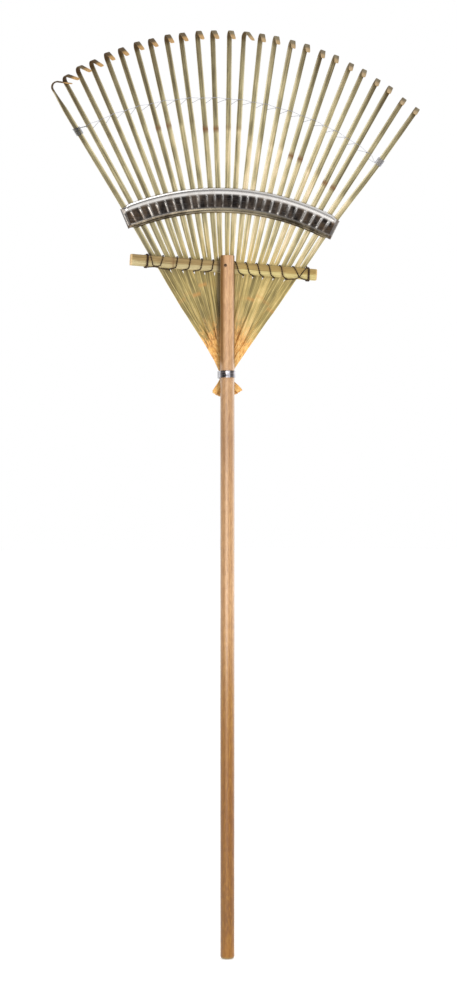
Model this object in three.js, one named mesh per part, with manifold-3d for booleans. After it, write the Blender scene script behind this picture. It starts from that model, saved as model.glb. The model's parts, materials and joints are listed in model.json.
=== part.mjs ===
// Leaf rake: a fan of thirteen split bamboo slats, banded and nailed to a round wooden handle.
// Millimetres, +Z up. The origin is the centre of the handle's butt, +Z runs up the handle,
// -Y is the front, where the tine hooks point, and +X is to the right seen from the front.
import * as THREE from "three";
import { mergeVertices } from "three/addons/utils/BufferGeometryUtils.js";
import Module from "manifold-3d";

const rad = THREE.MathUtils.degToRad;

// Handle
const HANDLE_LENGTH = 1219;
const HANDLE_RADIUS = 12.25;
const HANDLE_SIDES = 36;
const BUTT_STEPS = 4;
const BUTT_ROUNDING = 5;
const TOP_CHAMFER = 1;

// The fan spreads from an apex inside the base band, slightly right of the handle's axis.
const APEX_X = 1;
const APEX_Z = 1011;
const HEAD_ROLL = rad(1.9);
const SLAT_COUNT = 13;
const SLAT_PITCH = rad(5.4);

// A slat along its length, r being the distance from the apex. Corners of each outline are [r, value].
// Up to BUNDLED_R every slat has its own level, at FANNED_R there are two layers, from PLANE_R on they
// lie side by side in one plane. They spread a little more at the crossbar than at the brace.
const TAIL_R = -36;
const BUNDLED_R = 62;
const FANNED_R = 122;
const PLANE_R = 140;
const SLAT_PLANE_Y = 20.2;
const BUNDLE_Y = 25.2;
const BUNDLED_WIDTH = 11;
const SIDE_GAP = 0.5;
const OUTER_SIDE = 7.1;
const SLAT_THICKNESS = [[BUNDLED_R, 1.5], [PLANE_R, 2.6]];
const SLAT_DEPTH_Y = [[BUNDLED_R, BUNDLE_Y], [FANNED_R, SLAT_PLANE_Y]];
const LEVEL_SHARE = [[BUNDLED_R, 1], [FANNED_R, 0]];
const LAYER_SHARE = [[FANNED_R, 1], [PLANE_R, 0]];
const SIDE_STEP = [[BUNDLED_R, 0], [190, 0.3], [230, 0.3], [290, 0]];
const LEVEL_STEP = 1.8;
const LAYER_GAP = 0.3;

// Heights above the crossbar's middle: slats neck in for the lacing just below it, split just above it.
const NECK_START_H = -16;
const NECK_END_H = -13;
const NECK_GAP = 2.4;
const NECK_LEAN = 9;
const SPLIT_H = 12;

// Tines: each slat is split into two.
const PARTING_R = 200;
const MIDWAY_R = 270;
const REACH_CENTRE = 600;
const REACH_EDGE = 586;
const TINE_OFFSET = [[PARTING_R, 3.9], [REACH_CENTRE, 13.35]];
const TINE_WIDTH = [[PARTING_R, 6.9], [MIDWAY_R, 9.8], [REACH_CENTRE, 8.8]];
const TINE_THICKNESS = 2.6;
const TIP_WIDTH = 7.6;
const TIP_THICKNESS = 2.0;
const SPLIT_OVERLAP = 3;

// Hooks: bent forward round a radius. They turn from right to left across the fan, and a few are knocked.
const HOOK_BEND_RADIUS = 9;
const HOOK_BEND = rad(127);
const HOOK_BEND_STEPS = 5;
const HOOK_STRAIGHT = 25;
const HOOK_TWIST_LEFT = rad(8);
const HOOK_TWIST_RIGHT = rad(-6);
const KNOCKED_HOOKS = new Map([[0, rad(66)], [1, rad(28)], [2, rad(22)], [3, rad(16)], [13, rad(16)]]);
const TWIST_PAST_SPACER = 20;

// The tines flex above the brace. Their outer ends are parted from the slats at this height.
const FLEX_Z = 1341;
const FLEX_GAP = 0.6;

// Brace: a pressed steel strap across the front and a plain one across the back.
const BRACE_MID_R = 305.5;
const BRACE_RADIUS = 440;
const BRACE_HALF_ANGLE = rad(25.2);
const BRACE_HEIGHT = 44;
const BRACE_STEPS = 26;
const STRAP_THICKNESS = 1;
const BACK_STRAP_HEIGHT = 36;
const TOP_BEAD = { height: 8.5, proud: 3.4 };
const LOWER_BEAD = { height: 6.5, proud: 2.2 };
const BEAD_SHOULDER = { inset: 0.18, proud: 0.75 };
const BRACE_END_WIDTH = 1.2;
const BRACE_TAB = 13;

// Crossbar: a front and a back stick laced together over the slats.
const BAR_CENTRE_X = -2;
const BAR_CENTRE_Z = 1200;
const BAR_TILT = rad(3.7);
const BAR_LENGTH = 331;
const BAR_HEIGHT = 20;
const BAR_DEPTH = 5.7;
const BAR_CHAMFER_Y = 3.2;
const BAR_CHAMFER_H = 3.5;

// Lacing wire
const LACE_RADIUS = 0.7;
const LACE_END_LEFT = -137.5;
const LACE_END_RIGHT = 150.5;
const LACE_END_STEP = 2.2;
// How far along a half turn its four corners lie: steep over the front, most of the way at its lower edge.
const LACE_FRONT_SHARES = [0, 0.1, 0.45, 1];
const LACE_BACK_SHARES = [0, 0.2, 0.8, 1];

// Spacer wire that holds the tines apart
const SPACER_RADIUS = 0.6;
const SPACER_R = 481;
const SPACER_SLOPE = -0.36;
const SPACER_RISE = 1.8;
const SPACER_END_TURNS = 3;

// Base band and nail
const BAND_Z = 1013;
const BAND_HEIGHT = 12;
const BAND_THICKNESS = 1;
const BAND_CURVE_STEPS = 14;
const BUNDLE = { halfWidth: 12.7, shoulderY: 26, backHalfWidth: 7.3, backY: 36.4 };
const NAIL_Z = 1201;
const NAIL_BEARING = rad(27.6);
const NAIL_RADIUS = 1.4;
const NAIL_HEAD_RADIUS = 3;
const NAIL_HEAD_HEIGHT = 1.4;
const NAIL_LENGTH = 30;
const NAIL_TAPER = 4;
const NAIL_SIDES = 12;
const NAIL_HEAD_CROWN = 0.55;

const CLEARANCE = 0.35;

// Depths that follow from the dimensions above
const FACE_FRONT_Y = SLAT_PLANE_Y - TINE_THICKNESS / 2 - CLEARANCE;
const FACE_BACK_Y = SLAT_PLANE_Y + TINE_THICKNESS / 2 + CLEARANCE;

const materials = {
  wood: { color: 0xc4956a, roughness: 0.45, metalness: 0 },
  bamboo: { color: 0xa39564, roughness: 0.55, metalness: 0 },
  stick: { color: 0xb0986a, roughness: 0.6, metalness: 0 },
  steel: { color: 0x8f8f92, roughness: 0.25, metalness: 1 },
  darkWire: { color: 0x3a332c, roughness: 0.5, metalness: 0.8 },
  zincWire: { color: 0xbcbcc4, roughness: 0.4, metalness: 0.9 },
};

const wasm = await Module();
wasm.setup();

/** The value at r of an outline given as [r, value] corners, held constant past both ends. */
function outline(corners, r) {
  const next = corners.findIndex(([at]) => at >= r);
  if (next === -1) return corners[corners.length - 1][1];
  if (next === 0) return corners[0][1];
  const [r0, v0] = corners[next - 1];
  const [r1, v1] = corners[next];
  return v0 + ((v1 - v0) * (r - r0)) / (r1 - r0);
}

/** A closed geometry from vertices and triangle indices. */
function geometryOf(points, faces) {
  const geometry = new THREE.BufferGeometry();
  const positions = new Float32Array(points.flatMap((p) => [p.x, p.y, p.z]));
  geometry.setAttribute("position", new THREE.BufferAttribute(positions, 3));
  geometry.setIndex(faces);
  return geometry;
}

/** A closed solid through rings of equal length, each turning right-handed about the way ahead. */
function loft(rings, section) {
  const sides = rings[0].length;
  const last = (rings.length - 1) * sides;
  const faces = [];
  for (let i = 0; i + 1 < rings.length; i++) {
    for (let j = 0; j < sides; j++) {
      const a = i * sides + j;
      const b = i * sides + ((j + 1) % sides);
      faces.push(a, b, b + sides, a, b + sides, a + sides);
    }
  }
  const flat = section ?? rings[0].map((_, j) => {
    const turn = (2 * Math.PI * j) / sides;
    return new THREE.Vector2(Math.cos(turn), Math.sin(turn));
  });
  for (const [a, b, c] of THREE.ShapeUtils.triangulateShape(flat, [])) {
    faces.push(a, c, b, last + a, last + b, last + c);
  }
  return geometryOf(rings.flat(), faces);
}

/** A round wire through points, its section carried along without twisting. */
function wire(points, radius, sides = 5) {
  let normal = new THREE.Vector3(0.31, 0.53, 0.79);
  const rings = points.map((point, i) => {
    const back = points[Math.max(i - 1, 0)];
    const ahead = points[Math.min(i + 1, points.length - 1)];
    const before = point.clone().sub(back).normalize();
    const after = ahead.clone().sub(point).normalize();
    const tangent = before.add(after).normalize();
    normal = normal.clone().addScaledVector(tangent, -normal.dot(tangent)).normalize();
    const side = tangent.clone().cross(normal);
    return Array.from({ length: sides }, (_, j) => {
      const turn = (2 * Math.PI * j) / sides;
      return point
        .clone()
        .addScaledVector(normal, radius * Math.cos(turn))
        .addScaledVector(side, radius * Math.sin(turn));
    });
  });
  return loft(rings);
}

/** A rectangular ring: width along across, thickness along through. */
function bar(centre, across, through, width, thickness) {
  const corners = [[-1, -1], [1, -1], [1, 1], [-1, 1]];
  return corners.map(([a, t]) =>
    centre
      .clone()
      .addScaledVector(across, (a * width) / 2)
      .addScaledVector(through, (t * thickness) / 2),
  );
}

/** A manifold-3d solid from a closed three.js geometry. */
function solid(geometry) {
  const bare = geometry.clone();
  bare.deleteAttribute("normal");
  bare.deleteAttribute("uv");
  const merged = mergeVertices(bare, 1e-4);
  const mesh = new wasm.Mesh({
    numProp: 3,
    vertProperties: merged.attributes.position.array,
    triVerts: new Uint32Array(merged.index.array),
  });
  return new wasm.Manifold(mesh);
}

/** The three.js geometry of a manifold-3d solid. */
function fromSolid(made) {
  const mesh = made.getMesh();
  const geometry = new THREE.BufferGeometry();
  geometry.setAttribute("position", new THREE.BufferAttribute(mesh.vertProperties, 3));
  geometry.setIndex(new THREE.BufferAttribute(mesh.triVerts, 1));
  return geometry;
}

function joined(geometries) {
  return fromSolid(geometries.map(solid).reduce((all, next) => all.add(next)));
}

const rake = new THREE.Group();
// The fan's own frame: the apex at its origin, the middle slat along its z axis.
const head = new THREE.Group();
head.position.set(APEX_X, 0, APEX_Z);
head.rotation.y = HEAD_ROLL;
rake.add(head);

function addPiece(parent, name, geometry, finish) {
  geometry.computeVertexNormals();
  const mesh = new THREE.Mesh(geometry, new THREE.MeshStandardMaterial(materials[finish]));
  mesh.name = name;
  parent.add(mesh);
}

const twoDigits = (n) => String(n).padStart(2, "0");

// Handle and nail -------------------------------------------------------------------------

/** The nail's axis runs level through the handle's axis, from front left to back right. */
function alongNail(geometry) {
  geometry.rotateZ(NAIL_BEARING * -1);
  geometry.translate(0, 0, NAIL_Z);
  return geometry;
}

function nailHole() {
  const radius = NAIL_RADIUS + CLEARANCE;
  return alongNail(new THREE.CylinderGeometry(radius, radius, 4 * HANDLE_RADIUS, NAIL_SIDES));
}

function handleGeometry() {
  const profile = [new THREE.Vector2(0, 0)];
  for (let i = 0; i <= BUTT_STEPS; i++) {
    const turn = (i / BUTT_STEPS) * (Math.PI / 2);
    profile.push(
      new THREE.Vector2(
        HANDLE_RADIUS - BUTT_ROUNDING * (1 - Math.sin(turn)),
        BUTT_ROUNDING * (1 - Math.cos(turn)),
      ),
    );
  }
  profile.push(new THREE.Vector2(HANDLE_RADIUS, HANDLE_LENGTH - TOP_CHAMFER));
  profile.push(new THREE.Vector2(HANDLE_RADIUS - TOP_CHAMFER, HANDLE_LENGTH));
  profile.push(new THREE.Vector2(0, HANDLE_LENGTH));
  const round = new THREE.LatheGeometry(profile, HANDLE_SIDES);
  round.rotateX(Math.PI / 2);
  return fromSolid(solid(round).subtract(solid(nailHole())));
}

function nailGeometry() {
  const headY = HANDLE_RADIUS + CLEARANCE;
  const tipY = HANDLE_RADIUS - NAIL_LENGTH;
  const profile = [
    [0, tipY],
    [NAIL_RADIUS, tipY + NAIL_TAPER],
    [NAIL_RADIUS, headY],
    [NAIL_HEAD_RADIUS, headY],
    [NAIL_HEAD_RADIUS, headY + NAIL_HEAD_HEIGHT / 2],
    [NAIL_HEAD_RADIUS * NAIL_HEAD_CROWN, headY + NAIL_HEAD_HEIGHT],
    [0, headY + NAIL_HEAD_HEIGHT],
  ].map(([radius, along]) => new THREE.Vector2(radius, along));
  const nail = new THREE.LatheGeometry(profile, NAIL_SIDES);
  // The profile's head end is turned to the front.
  nail.rotateZ(Math.PI);
  return alongNail(nail);
}

addPiece(rake, "handle", handleGeometry(), "wood");
addPiece(rake, "handle_nail", nailGeometry(), "steel");

// Base band -------------------------------------------------------------------------------

/** A loop round the handle's front and the tapering back of the slat bundle, grown by some amount. */
function bandLoop(grow) {
  const radius = HANDLE_RADIUS + CLEARANCE + grow;
  const wide = BUNDLE.halfWidth + grow;
  const narrow = BUNDLE.backHalfWidth + grow / 2;
  const backY = BUNDLE.backY + grow;
  // Angle at which a straight run from a corner meets the circle round the handle.
  const touch = (x, y, side) => Math.atan2(y, x) + side * Math.acos(radius / Math.hypot(x, y));
  const start = touch(APEX_X - wide, BUNDLE.shoulderY, 1);
  const end = touch(APEX_X + wide, HANDLE_RADIUS, -1);
  const loop = new THREE.Shape();
  loop.moveTo(APEX_X + wide, HANDLE_RADIUS);
  loop.lineTo(APEX_X + wide, BUNDLE.shoulderY);
  loop.lineTo(APEX_X + narrow, backY);
  loop.lineTo(APEX_X - narrow, backY);
  loop.lineTo(APEX_X - wide, BUNDLE.shoulderY);
  loop.absarc(0, 0, radius, start, end + 2 * Math.PI, false);
  return loop;
}

function bandGeometry() {
  const shape = bandLoop(BAND_THICKNESS);
  shape.holes.push(new THREE.Path(bandLoop(0).getPoints(BAND_CURVE_STEPS)));
  const band = new THREE.ExtrudeGeometry(shape, {
    depth: BAND_HEIGHT,
    bevelEnabled: false,
    curveSegments: BAND_CURVE_STEPS,
  });
  band.translate(0, 0, BAND_Z - BAND_HEIGHT / 2);
  return band;
}

addPiece(rake, "base_band", bandGeometry(), "steel");

// Slats and tine ends ---------------------------------------------------------------------

const UP = new THREE.Vector3(0, 0, 1);
const RIGHT = new THREE.Vector3(1, 0, 0);
const REAR = new THREE.Vector3(0, 1, 0);

/** Angle of a slat from the middle one; slats are numbered 0 to 12 from the left. */
const slatAngle = (slat) => (slat - (SLAT_COUNT - 1) / 2) * SLAT_PITCH;

/**
 * How many levels a slat lies from the bundle's middle under the band. Even slats lie towards the
 * handle, outermost nearest to it; odd ones lie towards the back, middle ones furthest back.
 */
function slatLevel(slat) {
  const middle = (SLAT_COUNT - 1) / 2;
  const fromMiddle = Math.abs(slat - middle);
  const rightSide = slat > middle ? 1 : 0;
  if (slat % 2 === 0) return Math.max(0, fromMiddle - rightSide);
  return middle - fromMiddle - rightSide;
}

/** Depth of a slat at r: even ones lie in the front layer, odd ones in the back layer. */
function slatDepth(slat, r) {
  const layer = slat % 2 === 0 ? -1 : 1;
  const separation = (outline(SLAT_THICKNESS, r) + LAYER_GAP) / 2;
  const level = slatLevel(slat) * LEVEL_STEP * outline(LEVEL_SHARE, r);
  return outline(SLAT_DEPTH_Y, r) + layer * (separation * outline(LAYER_SHARE, r) + level);
}

/** How far a slat strays sideways from its straight line at r. */
const slatStray = (slat, r) => (slat - (SLAT_COUNT - 1) / 2) * outline(SIDE_STEP, r);

/** The slat's frame at distance r and sideways offset from its own middle line. */
function slatPoint(slat, r, sideways) {
  const point = new THREE.Vector3(sideways + slatStray(slat, r), slatDepth(slat, r), r);
  return point.applyAxisAngle(REAR, slatAngle(slat));
}

/** Distance from the apex at which a slat crosses the flex line. */
function flexDistance(slat) {
  return (FLEX_Z - APEX_Z) / Math.cos(slatAngle(slat) + HEAD_ROLL);
}

/** The angle at which a slat crosses the crossbar, 0 being straight across it. */
const crossingAngle = (slat) => slatAngle(slat) + HEAD_ROLL - BAR_TILT;

/** Distance from the apex at which a slat crosses a line parallel to the crossbar, h above its middle. */
function crossbarDistance(slat, h) {
  const across = BAR_CENTRE_X - APEX_X;
  const above = BAR_CENTRE_Z - APEX_Z;
  const height = across * Math.sin(BAR_TILT) + above * Math.cos(BAR_TILT) + h;
  return height / Math.cos(crossingAngle(slat));
}

/** The width of a slat's two tines together at r. */
const pairWidth = (r) => 2 * outline(TINE_OFFSET, r) + outline(TINE_WIDTH, r);

/** The distance between the middle lines of neighbouring slats at r. */
const slatSpacing = (r) => r * SLAT_PITCH + outline(SIDE_STEP, r);

/** A ring of a slat at r, as wide as its neighbours leave it; outwards the last slats keep their width. */
function slatRing(slat, r, gap) {
  const half = (slatSpacing(r) - gap) / 2;
  const left = slat === 0 ? Math.min(half, OUTER_SIDE) : half;
  const right = slat === SLAT_COUNT - 1 ? Math.min(half, OUTER_SIDE) : half;
  return [r, left + right, (right - left) / 2];
}

/** The wide part of a slat, from its tail under the band to where it splits. */
function slatBody(slat) {
  const across = RIGHT.clone().applyAxisAngle(REAR, slatAngle(slat));
  const lean = NECK_LEAN * Math.abs(Math.sin(crossingAngle(slat)));
  const neckStart = crossbarDistance(slat, NECK_START_H - lean);
  const neckEnd = crossbarDistance(slat, NECK_END_H - lean);
  const split = crossbarDistance(slat, SPLIT_H);
  const stations = [
    [TAIL_R, BUNDLED_WIDTH, 0],
    [BUNDLED_R, BUNDLED_WIDTH, 0],
    [FANNED_R, BUNDLED_WIDTH, 0],
    slatRing(slat, PLANE_R, SIDE_GAP),
    slatRing(slat, neckStart, SIDE_GAP),
    slatRing(slat, neckEnd, NECK_GAP),
    [split, pairWidth(split), 0],
  ];
  return loft(
    stations.map(([r, width, sideways]) =>
      bar(slatPoint(slat, r, sideways), across, REAR, width, outline(SLAT_THICKNESS, r)),
    ),
  );
}

/** One ring of a tine at r; side is -1 for the slat's left tine and 1 for its right one. */
function tineRing(slat, side, r, twist = 0) {
  const across = RIGHT.clone().applyAxisAngle(REAR, slatAngle(slat));
  const ahead = UP.clone().applyAxisAngle(REAR, slatAngle(slat));
  const centre = slatPoint(slat, r, side * outline(TINE_OFFSET, r));
  across.applyAxisAngle(ahead, twist);
  const through = REAR.clone().applyAxisAngle(ahead, twist);
  return bar(centre, across, through, outline(TINE_WIDTH, r), TINE_THICKNESS);
}

/** The stretch of a tine between the split and the flex line. */
function innerTine(slat, side) {
  const split = crossbarDistance(slat, SPLIT_H);
  const stations = [split - SPLIT_OVERLAP, MIDWAY_R, flexDistance(slat) - FLEX_GAP / 2];
  return loft(stations.map((r) => tineRing(slat, side, r)));
}

/** How far a tine reaches from the apex to the outside of its bend. */
function tineReach(slat) {
  const outward = slatAngle(slat) / slatAngle(SLAT_COUNT - 1);
  return REACH_CENTRE + (REACH_EDGE - REACH_CENTRE) * outward * outward;
}

/** How far a tine's hook is turned about the tine; tines are numbered 0 to 25 from the left. */
function hookTwist(tine) {
  const share = tine / (2 * SLAT_COUNT - 1);
  return KNOCKED_HOOKS.get(tine) ?? HOOK_TWIST_LEFT + (HOOK_TWIST_RIGHT - HOOK_TWIST_LEFT) * share;
}

/** The outer end of a tine: straight, then bent forward into a hook. */
function tineEnd(slat, side) {
  const twist = hookTwist(2 * slat + (side > 0 ? 1 : 0));
  const bendR = tineReach(slat) - TINE_THICKNESS / 2 - HOOK_BEND_RADIUS;
  const rings = [
    tineRing(slat, side, flexDistance(slat) + FLEX_GAP / 2),
    tineRing(slat, side, spacerDistance(slat) + TWIST_PAST_SPACER),
    tineRing(slat, side, bendR, twist),
  ];
  const ahead = UP.clone().applyAxisAngle(REAR, slatAngle(slat));
  const across = RIGHT.clone().applyAxisAngle(REAR, slatAngle(slat)).applyAxisAngle(ahead, twist);
  const forward = ahead.clone().cross(across).negate();
  const start = slatPoint(slat, bendR, side * outline(TINE_OFFSET, bendR));
  const pathPoint = (turn, beyond) =>
    start
      .clone()
      .addScaledVector(ahead, HOOK_BEND_RADIUS * Math.sin(turn) + beyond * Math.cos(turn))
      .addScaledVector(forward, HOOK_BEND_RADIUS * (1 - Math.cos(turn)) + beyond * Math.sin(turn));
  const through = (turn) =>
    ahead.clone().multiplyScalar(Math.sin(turn)).addScaledVector(forward, -Math.cos(turn));
  const width = outline(TINE_WIDTH, bendR);
  for (let i = 1; i <= HOOK_BEND_STEPS; i++) {
    const turn = (HOOK_BEND * i) / HOOK_BEND_STEPS;
    rings.push(bar(pathPoint(turn, 0), across, through(turn), width, TINE_THICKNESS));
  }
  rings.push(
    bar(pathPoint(HOOK_BEND, HOOK_STRAIGHT), across, through(HOOK_BEND), TIP_WIDTH, TIP_THICKNESS),
  );
  return loft(rings);
}

/** Distance from the apex at which the spacer wire crosses a slat's line. */
function spacerDistance(slat) {
  return SPACER_R + SPACER_SLOPE * THREE.MathUtils.radToDeg(slatAngle(slat));
}

for (let slat = 0; slat < SLAT_COUNT; slat++) {
  const pieces = [slatBody(slat), innerTine(slat, -1), innerTine(slat, 1)];
  addPiece(head, "slat_" + twoDigits(slat + 1), joined(pieces), "bamboo");
  addPiece(head, "tine_end_" + twoDigits(2 * slat + 1), tineEnd(slat, -1), "bamboo");
  addPiece(head, "tine_end_" + twoDigits(2 * slat + 2), tineEnd(slat, 1), "bamboo");
}

// Brace -----------------------------------------------------------------------------------

/** A point of the brace: turn along its arc, height above its middle line, and depth. */
function bracePoint(turn, height, y) {
  const r = BRACE_RADIUS + height;
  const centreZ = BRACE_MID_R - BRACE_RADIUS;
  return new THREE.Vector3(r * Math.sin(turn), y, centreZ + r * Math.cos(turn));
}

/** A strap along the brace's arc from a section of [height, y] corners. */
function strap(section, from, to, steps) {
  const rings = [];
  for (let i = 0; i <= steps; i++) {
    const turn = from + ((to - from) * i) / steps;
    rings.push(section.map(([height, y]) => bracePoint(turn, height, y)));
  }
  const flat = section.map(([height, y]) => new THREE.Vector2(y, height));
  return loft(rings, flat);
}

/** Corners of a bead on the front of the strap, from its lower edge to its upper one. */
function bead(lower, { height, proud }) {
  const frontY = FACE_FRONT_Y - STRAP_THICKNESS;
  const shoulderY = frontY - proud * BEAD_SHOULDER.proud;
  return [
    [lower, frontY],
    [lower + height * BEAD_SHOULDER.inset, shoulderY],
    [lower + height / 2, frontY - proud],
    [lower + height * (1 - BEAD_SHOULDER.inset), shoulderY],
    [lower + height, frontY],
  ];
}

function box(halfHeight, frontY, backY) {
  return [[-halfHeight, backY], [-halfHeight, frontY], [halfHeight, frontY], [halfHeight, backY]];
}

function braceFront() {
  const half = BRACE_HEIGHT / 2;
  const section = [
    [-half, FACE_FRONT_Y],
    ...bead(-half, LOWER_BEAD),
    ...bead(half - TOP_BEAD.height, TOP_BEAD),
    [half, FACE_FRONT_Y],
  ].reverse();
  const edge = BRACE_HALF_ANGLE;
  const wall = BRACE_END_WIDTH / BRACE_RADIUS;
  const tab = BRACE_TAB / BRACE_RADIUS;
  const tabFront = FACE_BACK_Y + STRAP_THICKNESS + CLEARANCE;
  const tabBack = tabFront + STRAP_THICKNESS;
  const frontY = FACE_FRONT_Y - STRAP_THICKNESS;
  const pieces = [strap(section, -edge, edge, BRACE_STEPS)];
  for (const side of [-1, 1]) {
    const wallTurns = [side * (edge - wall), side * edge].sort((a, b) => a - b);
    const tabTurns = [side * (edge - tab), side * edge].sort((a, b) => a - b);
    const halfTab = BACK_STRAP_HEIGHT / 2;
    pieces.push(strap(box(halfTab, frontY, tabBack).reverse(), ...wallTurns, 1));
    pieces.push(strap(box(halfTab, tabFront, tabBack).reverse(), ...tabTurns, 1));
  }
  return joined(pieces);
}

function braceBack() {
  const inside = BRACE_HALF_ANGLE - (BRACE_END_WIDTH + CLEARANCE) / (BRACE_RADIUS - BRACE_HEIGHT);
  const section = box(BACK_STRAP_HEIGHT / 2, FACE_BACK_Y, FACE_BACK_Y + STRAP_THICKNESS).reverse();
  return strap(section, -inside, inside, BRACE_STEPS);
}

addPiece(head, "brace_front", braceFront(), "steel");
addPiece(head, "brace_back", braceBack(), "steel");

// Spacer wire -----------------------------------------------------------------------------

/** Turns of wire round one tine, ending with a second pass across its front. */
function turnsRound(slat, side, turns) {
  const r = spacerDistance(slat);
  const across = outline(TINE_WIDTH, r) / 2 + SPACER_RADIUS + CLEARANCE;
  const through = TINE_THICKNESS / 2 + SPACER_RADIUS + CLEARANCE;
  const corners = [[-1, -1], [1, -1], [1, 1], [-1, 1]];
  const points = [];
  for (let i = 0; i < 4 * turns + 2; i++) {
    const [a, t] = corners[i % 4];
    const along = r + (i / 4 - turns / 2) * SPACER_RISE;
    const sideways = side * outline(TINE_OFFSET, r) + a * across;
    const point = new THREE.Vector3(sideways, SLAT_PLANE_Y + t * through, along);
    points.push(point.applyAxisAngle(REAR, slatAngle(slat)));
  }
  return points;
}

function spacerWire() {
  const points = [];
  for (let tine = 0; tine < 2 * SLAT_COUNT; tine++) {
    const atEnd = tine === 0 || tine === 2 * SLAT_COUNT - 1;
    const side = tine % 2 === 0 ? -1 : 1;
    points.push(...turnsRound(Math.floor(tine / 2), side, atEnd ? SPACER_END_TURNS : 1));
  }
  return wire(points, SPACER_RADIUS);
}

addPiece(head, "spacer_wire", spacerWire(), "zincWire");

// Crossbar and lacing ---------------------------------------------------------------------

// The crossbar's frame: s runs along it to the right, h up across it.
const crossbar = new THREE.Group();
crossbar.position.set(BAR_CENTRE_X, 0, BAR_CENTRE_Z);
crossbar.rotation.y = BAR_TILT;
rake.add(crossbar);

/** A half-round stick: flat on flatY and bulging by depth, forwards (-1) or backwards (1). */
function stick(flatY, direction) {
  const half = BAR_HEIGHT / 2;
  const section = [
    [half, flatY],
    [half, flatY + direction * (BAR_DEPTH - BAR_CHAMFER_Y)],
    [half - BAR_CHAMFER_H, flatY + direction * BAR_DEPTH],
    [BAR_CHAMFER_H - half, flatY + direction * BAR_DEPTH],
    [-half, flatY + direction * (BAR_DEPTH - BAR_CHAMFER_Y)],
    [-half, flatY],
  ];
  if (direction > 0) section.reverse();
  const ends = [-BAR_LENGTH / 2, BAR_LENGTH / 2];
  return loft(ends.map((s) => section.map(([h, y]) => new THREE.Vector3(s, y, h))));
}

function crossbarFront() {
  const hole = nailHole();
  hole.translate(-BAR_CENTRE_X, 0, -BAR_CENTRE_Z);
  hole.rotateY(-BAR_TILT);
  return fromSolid(solid(stick(FACE_FRONT_Y, -1)).subtract(solid(hole)));
}

addPiece(crossbar, "crossbar_front", crossbarFront(), "stick");
addPiece(crossbar, "crossbar_back", stick(FACE_BACK_Y, 1), "stick");

/** Where the gap right of a slat crosses a line parallel to the crossbar, h above its middle. */
function gapAlongBar(slat, h) {
  const bearing = crossingAngle(slat + 0.5);
  const apex = new THREE.Vector3(APEX_X - BAR_CENTRE_X, 0, APEX_Z - BAR_CENTRE_Z);
  apex.applyAxisAngle(REAR, -BAR_TILT);
  const stray = slatStray(slat + 0.5, crossbarDistance(slat + 0.5, h));
  return apex.x + (h - apex.z) * Math.tan(bearing) + stray / Math.cos(bearing);
}

/** Half a turn of lacing: down the front or up the back, between two places along the bar. */
function halfTurn(fromS, toS, direction) {
  const stand = LACE_RADIUS + CLEARANCE;
  const half = BAR_HEIGHT / 2 + stand;
  const flatY = direction < 0 ? FACE_FRONT_Y : FACE_BACK_Y;
  const shoulderY = flatY + direction * (BAR_DEPTH - BAR_CHAMFER_Y + stand / 3);
  const crestY = flatY + direction * (BAR_DEPTH + stand);
  const crest = BAR_HEIGHT / 2 - BAR_CHAMFER_H + stand / 3;
  const corners = [[half, shoulderY], [crest, crestY], [-crest, crestY], [-half, shoulderY]];
  if (direction > 0) corners.reverse();
  const shares = direction < 0 ? LACE_FRONT_SHARES : LACE_BACK_SHARES;
  return corners.map(([h, y], i) => new THREE.Vector3(fromS + (toS - fromS) * shares[i], y, h));
}

/** Lacing from the handle outwards through the gaps between slats, with two turns at the end. */
function lacing(gaps, endS) {
  const over = BAR_HEIGHT / 2 + LACE_RADIUS + CLEARANCE;
  const turns = [endS - Math.sign(endS) * LACE_END_STEP, endS];
  const tops = [...gaps.map((slat) => gapAlongBar(slat, over)), ...turns];
  const bottoms = [...gaps.map((slat) => gapAlongBar(slat, -over)), ...turns];
  const points = halfTurn(bottoms[0], tops[0], 1);
  for (let i = 0; i + 1 < tops.length; i++) {
    points.push(...halfTurn(tops[i], bottoms[i + 1], -1));
    points.push(...halfTurn(bottoms[i + 1], tops[i + 1], 1));
  }
  return wire(points, LACE_RADIUS);
}

addPiece(crossbar, "lacing_wire_left", lacing([4, 3, 2, 1, 0], LACE_END_LEFT), "darkWire");
addPiece(crossbar, "lacing_wire_right", lacing([6, 7, 8, 9, 10, 11], LACE_END_RIGHT), "darkWire");

export default rake;
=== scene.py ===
"""Looks of the leaf rake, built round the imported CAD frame.

Lengths are millimetres in the frame's axes until a mesh is made: z runs up the handle from its
butt, the front (where the hooks point) is -y and x is to the right seen from the front. r is a
distance from the fan's apex along a slat. Materials work in metres, except in the strip attribute.
"""

import json
import random
from collections import defaultdict
from math import atan2, copysign, cos, degrees, pi, radians, sin, sqrt, tan

import bmesh
import bpy
from mathutils import Matrix, Vector, noise


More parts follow.
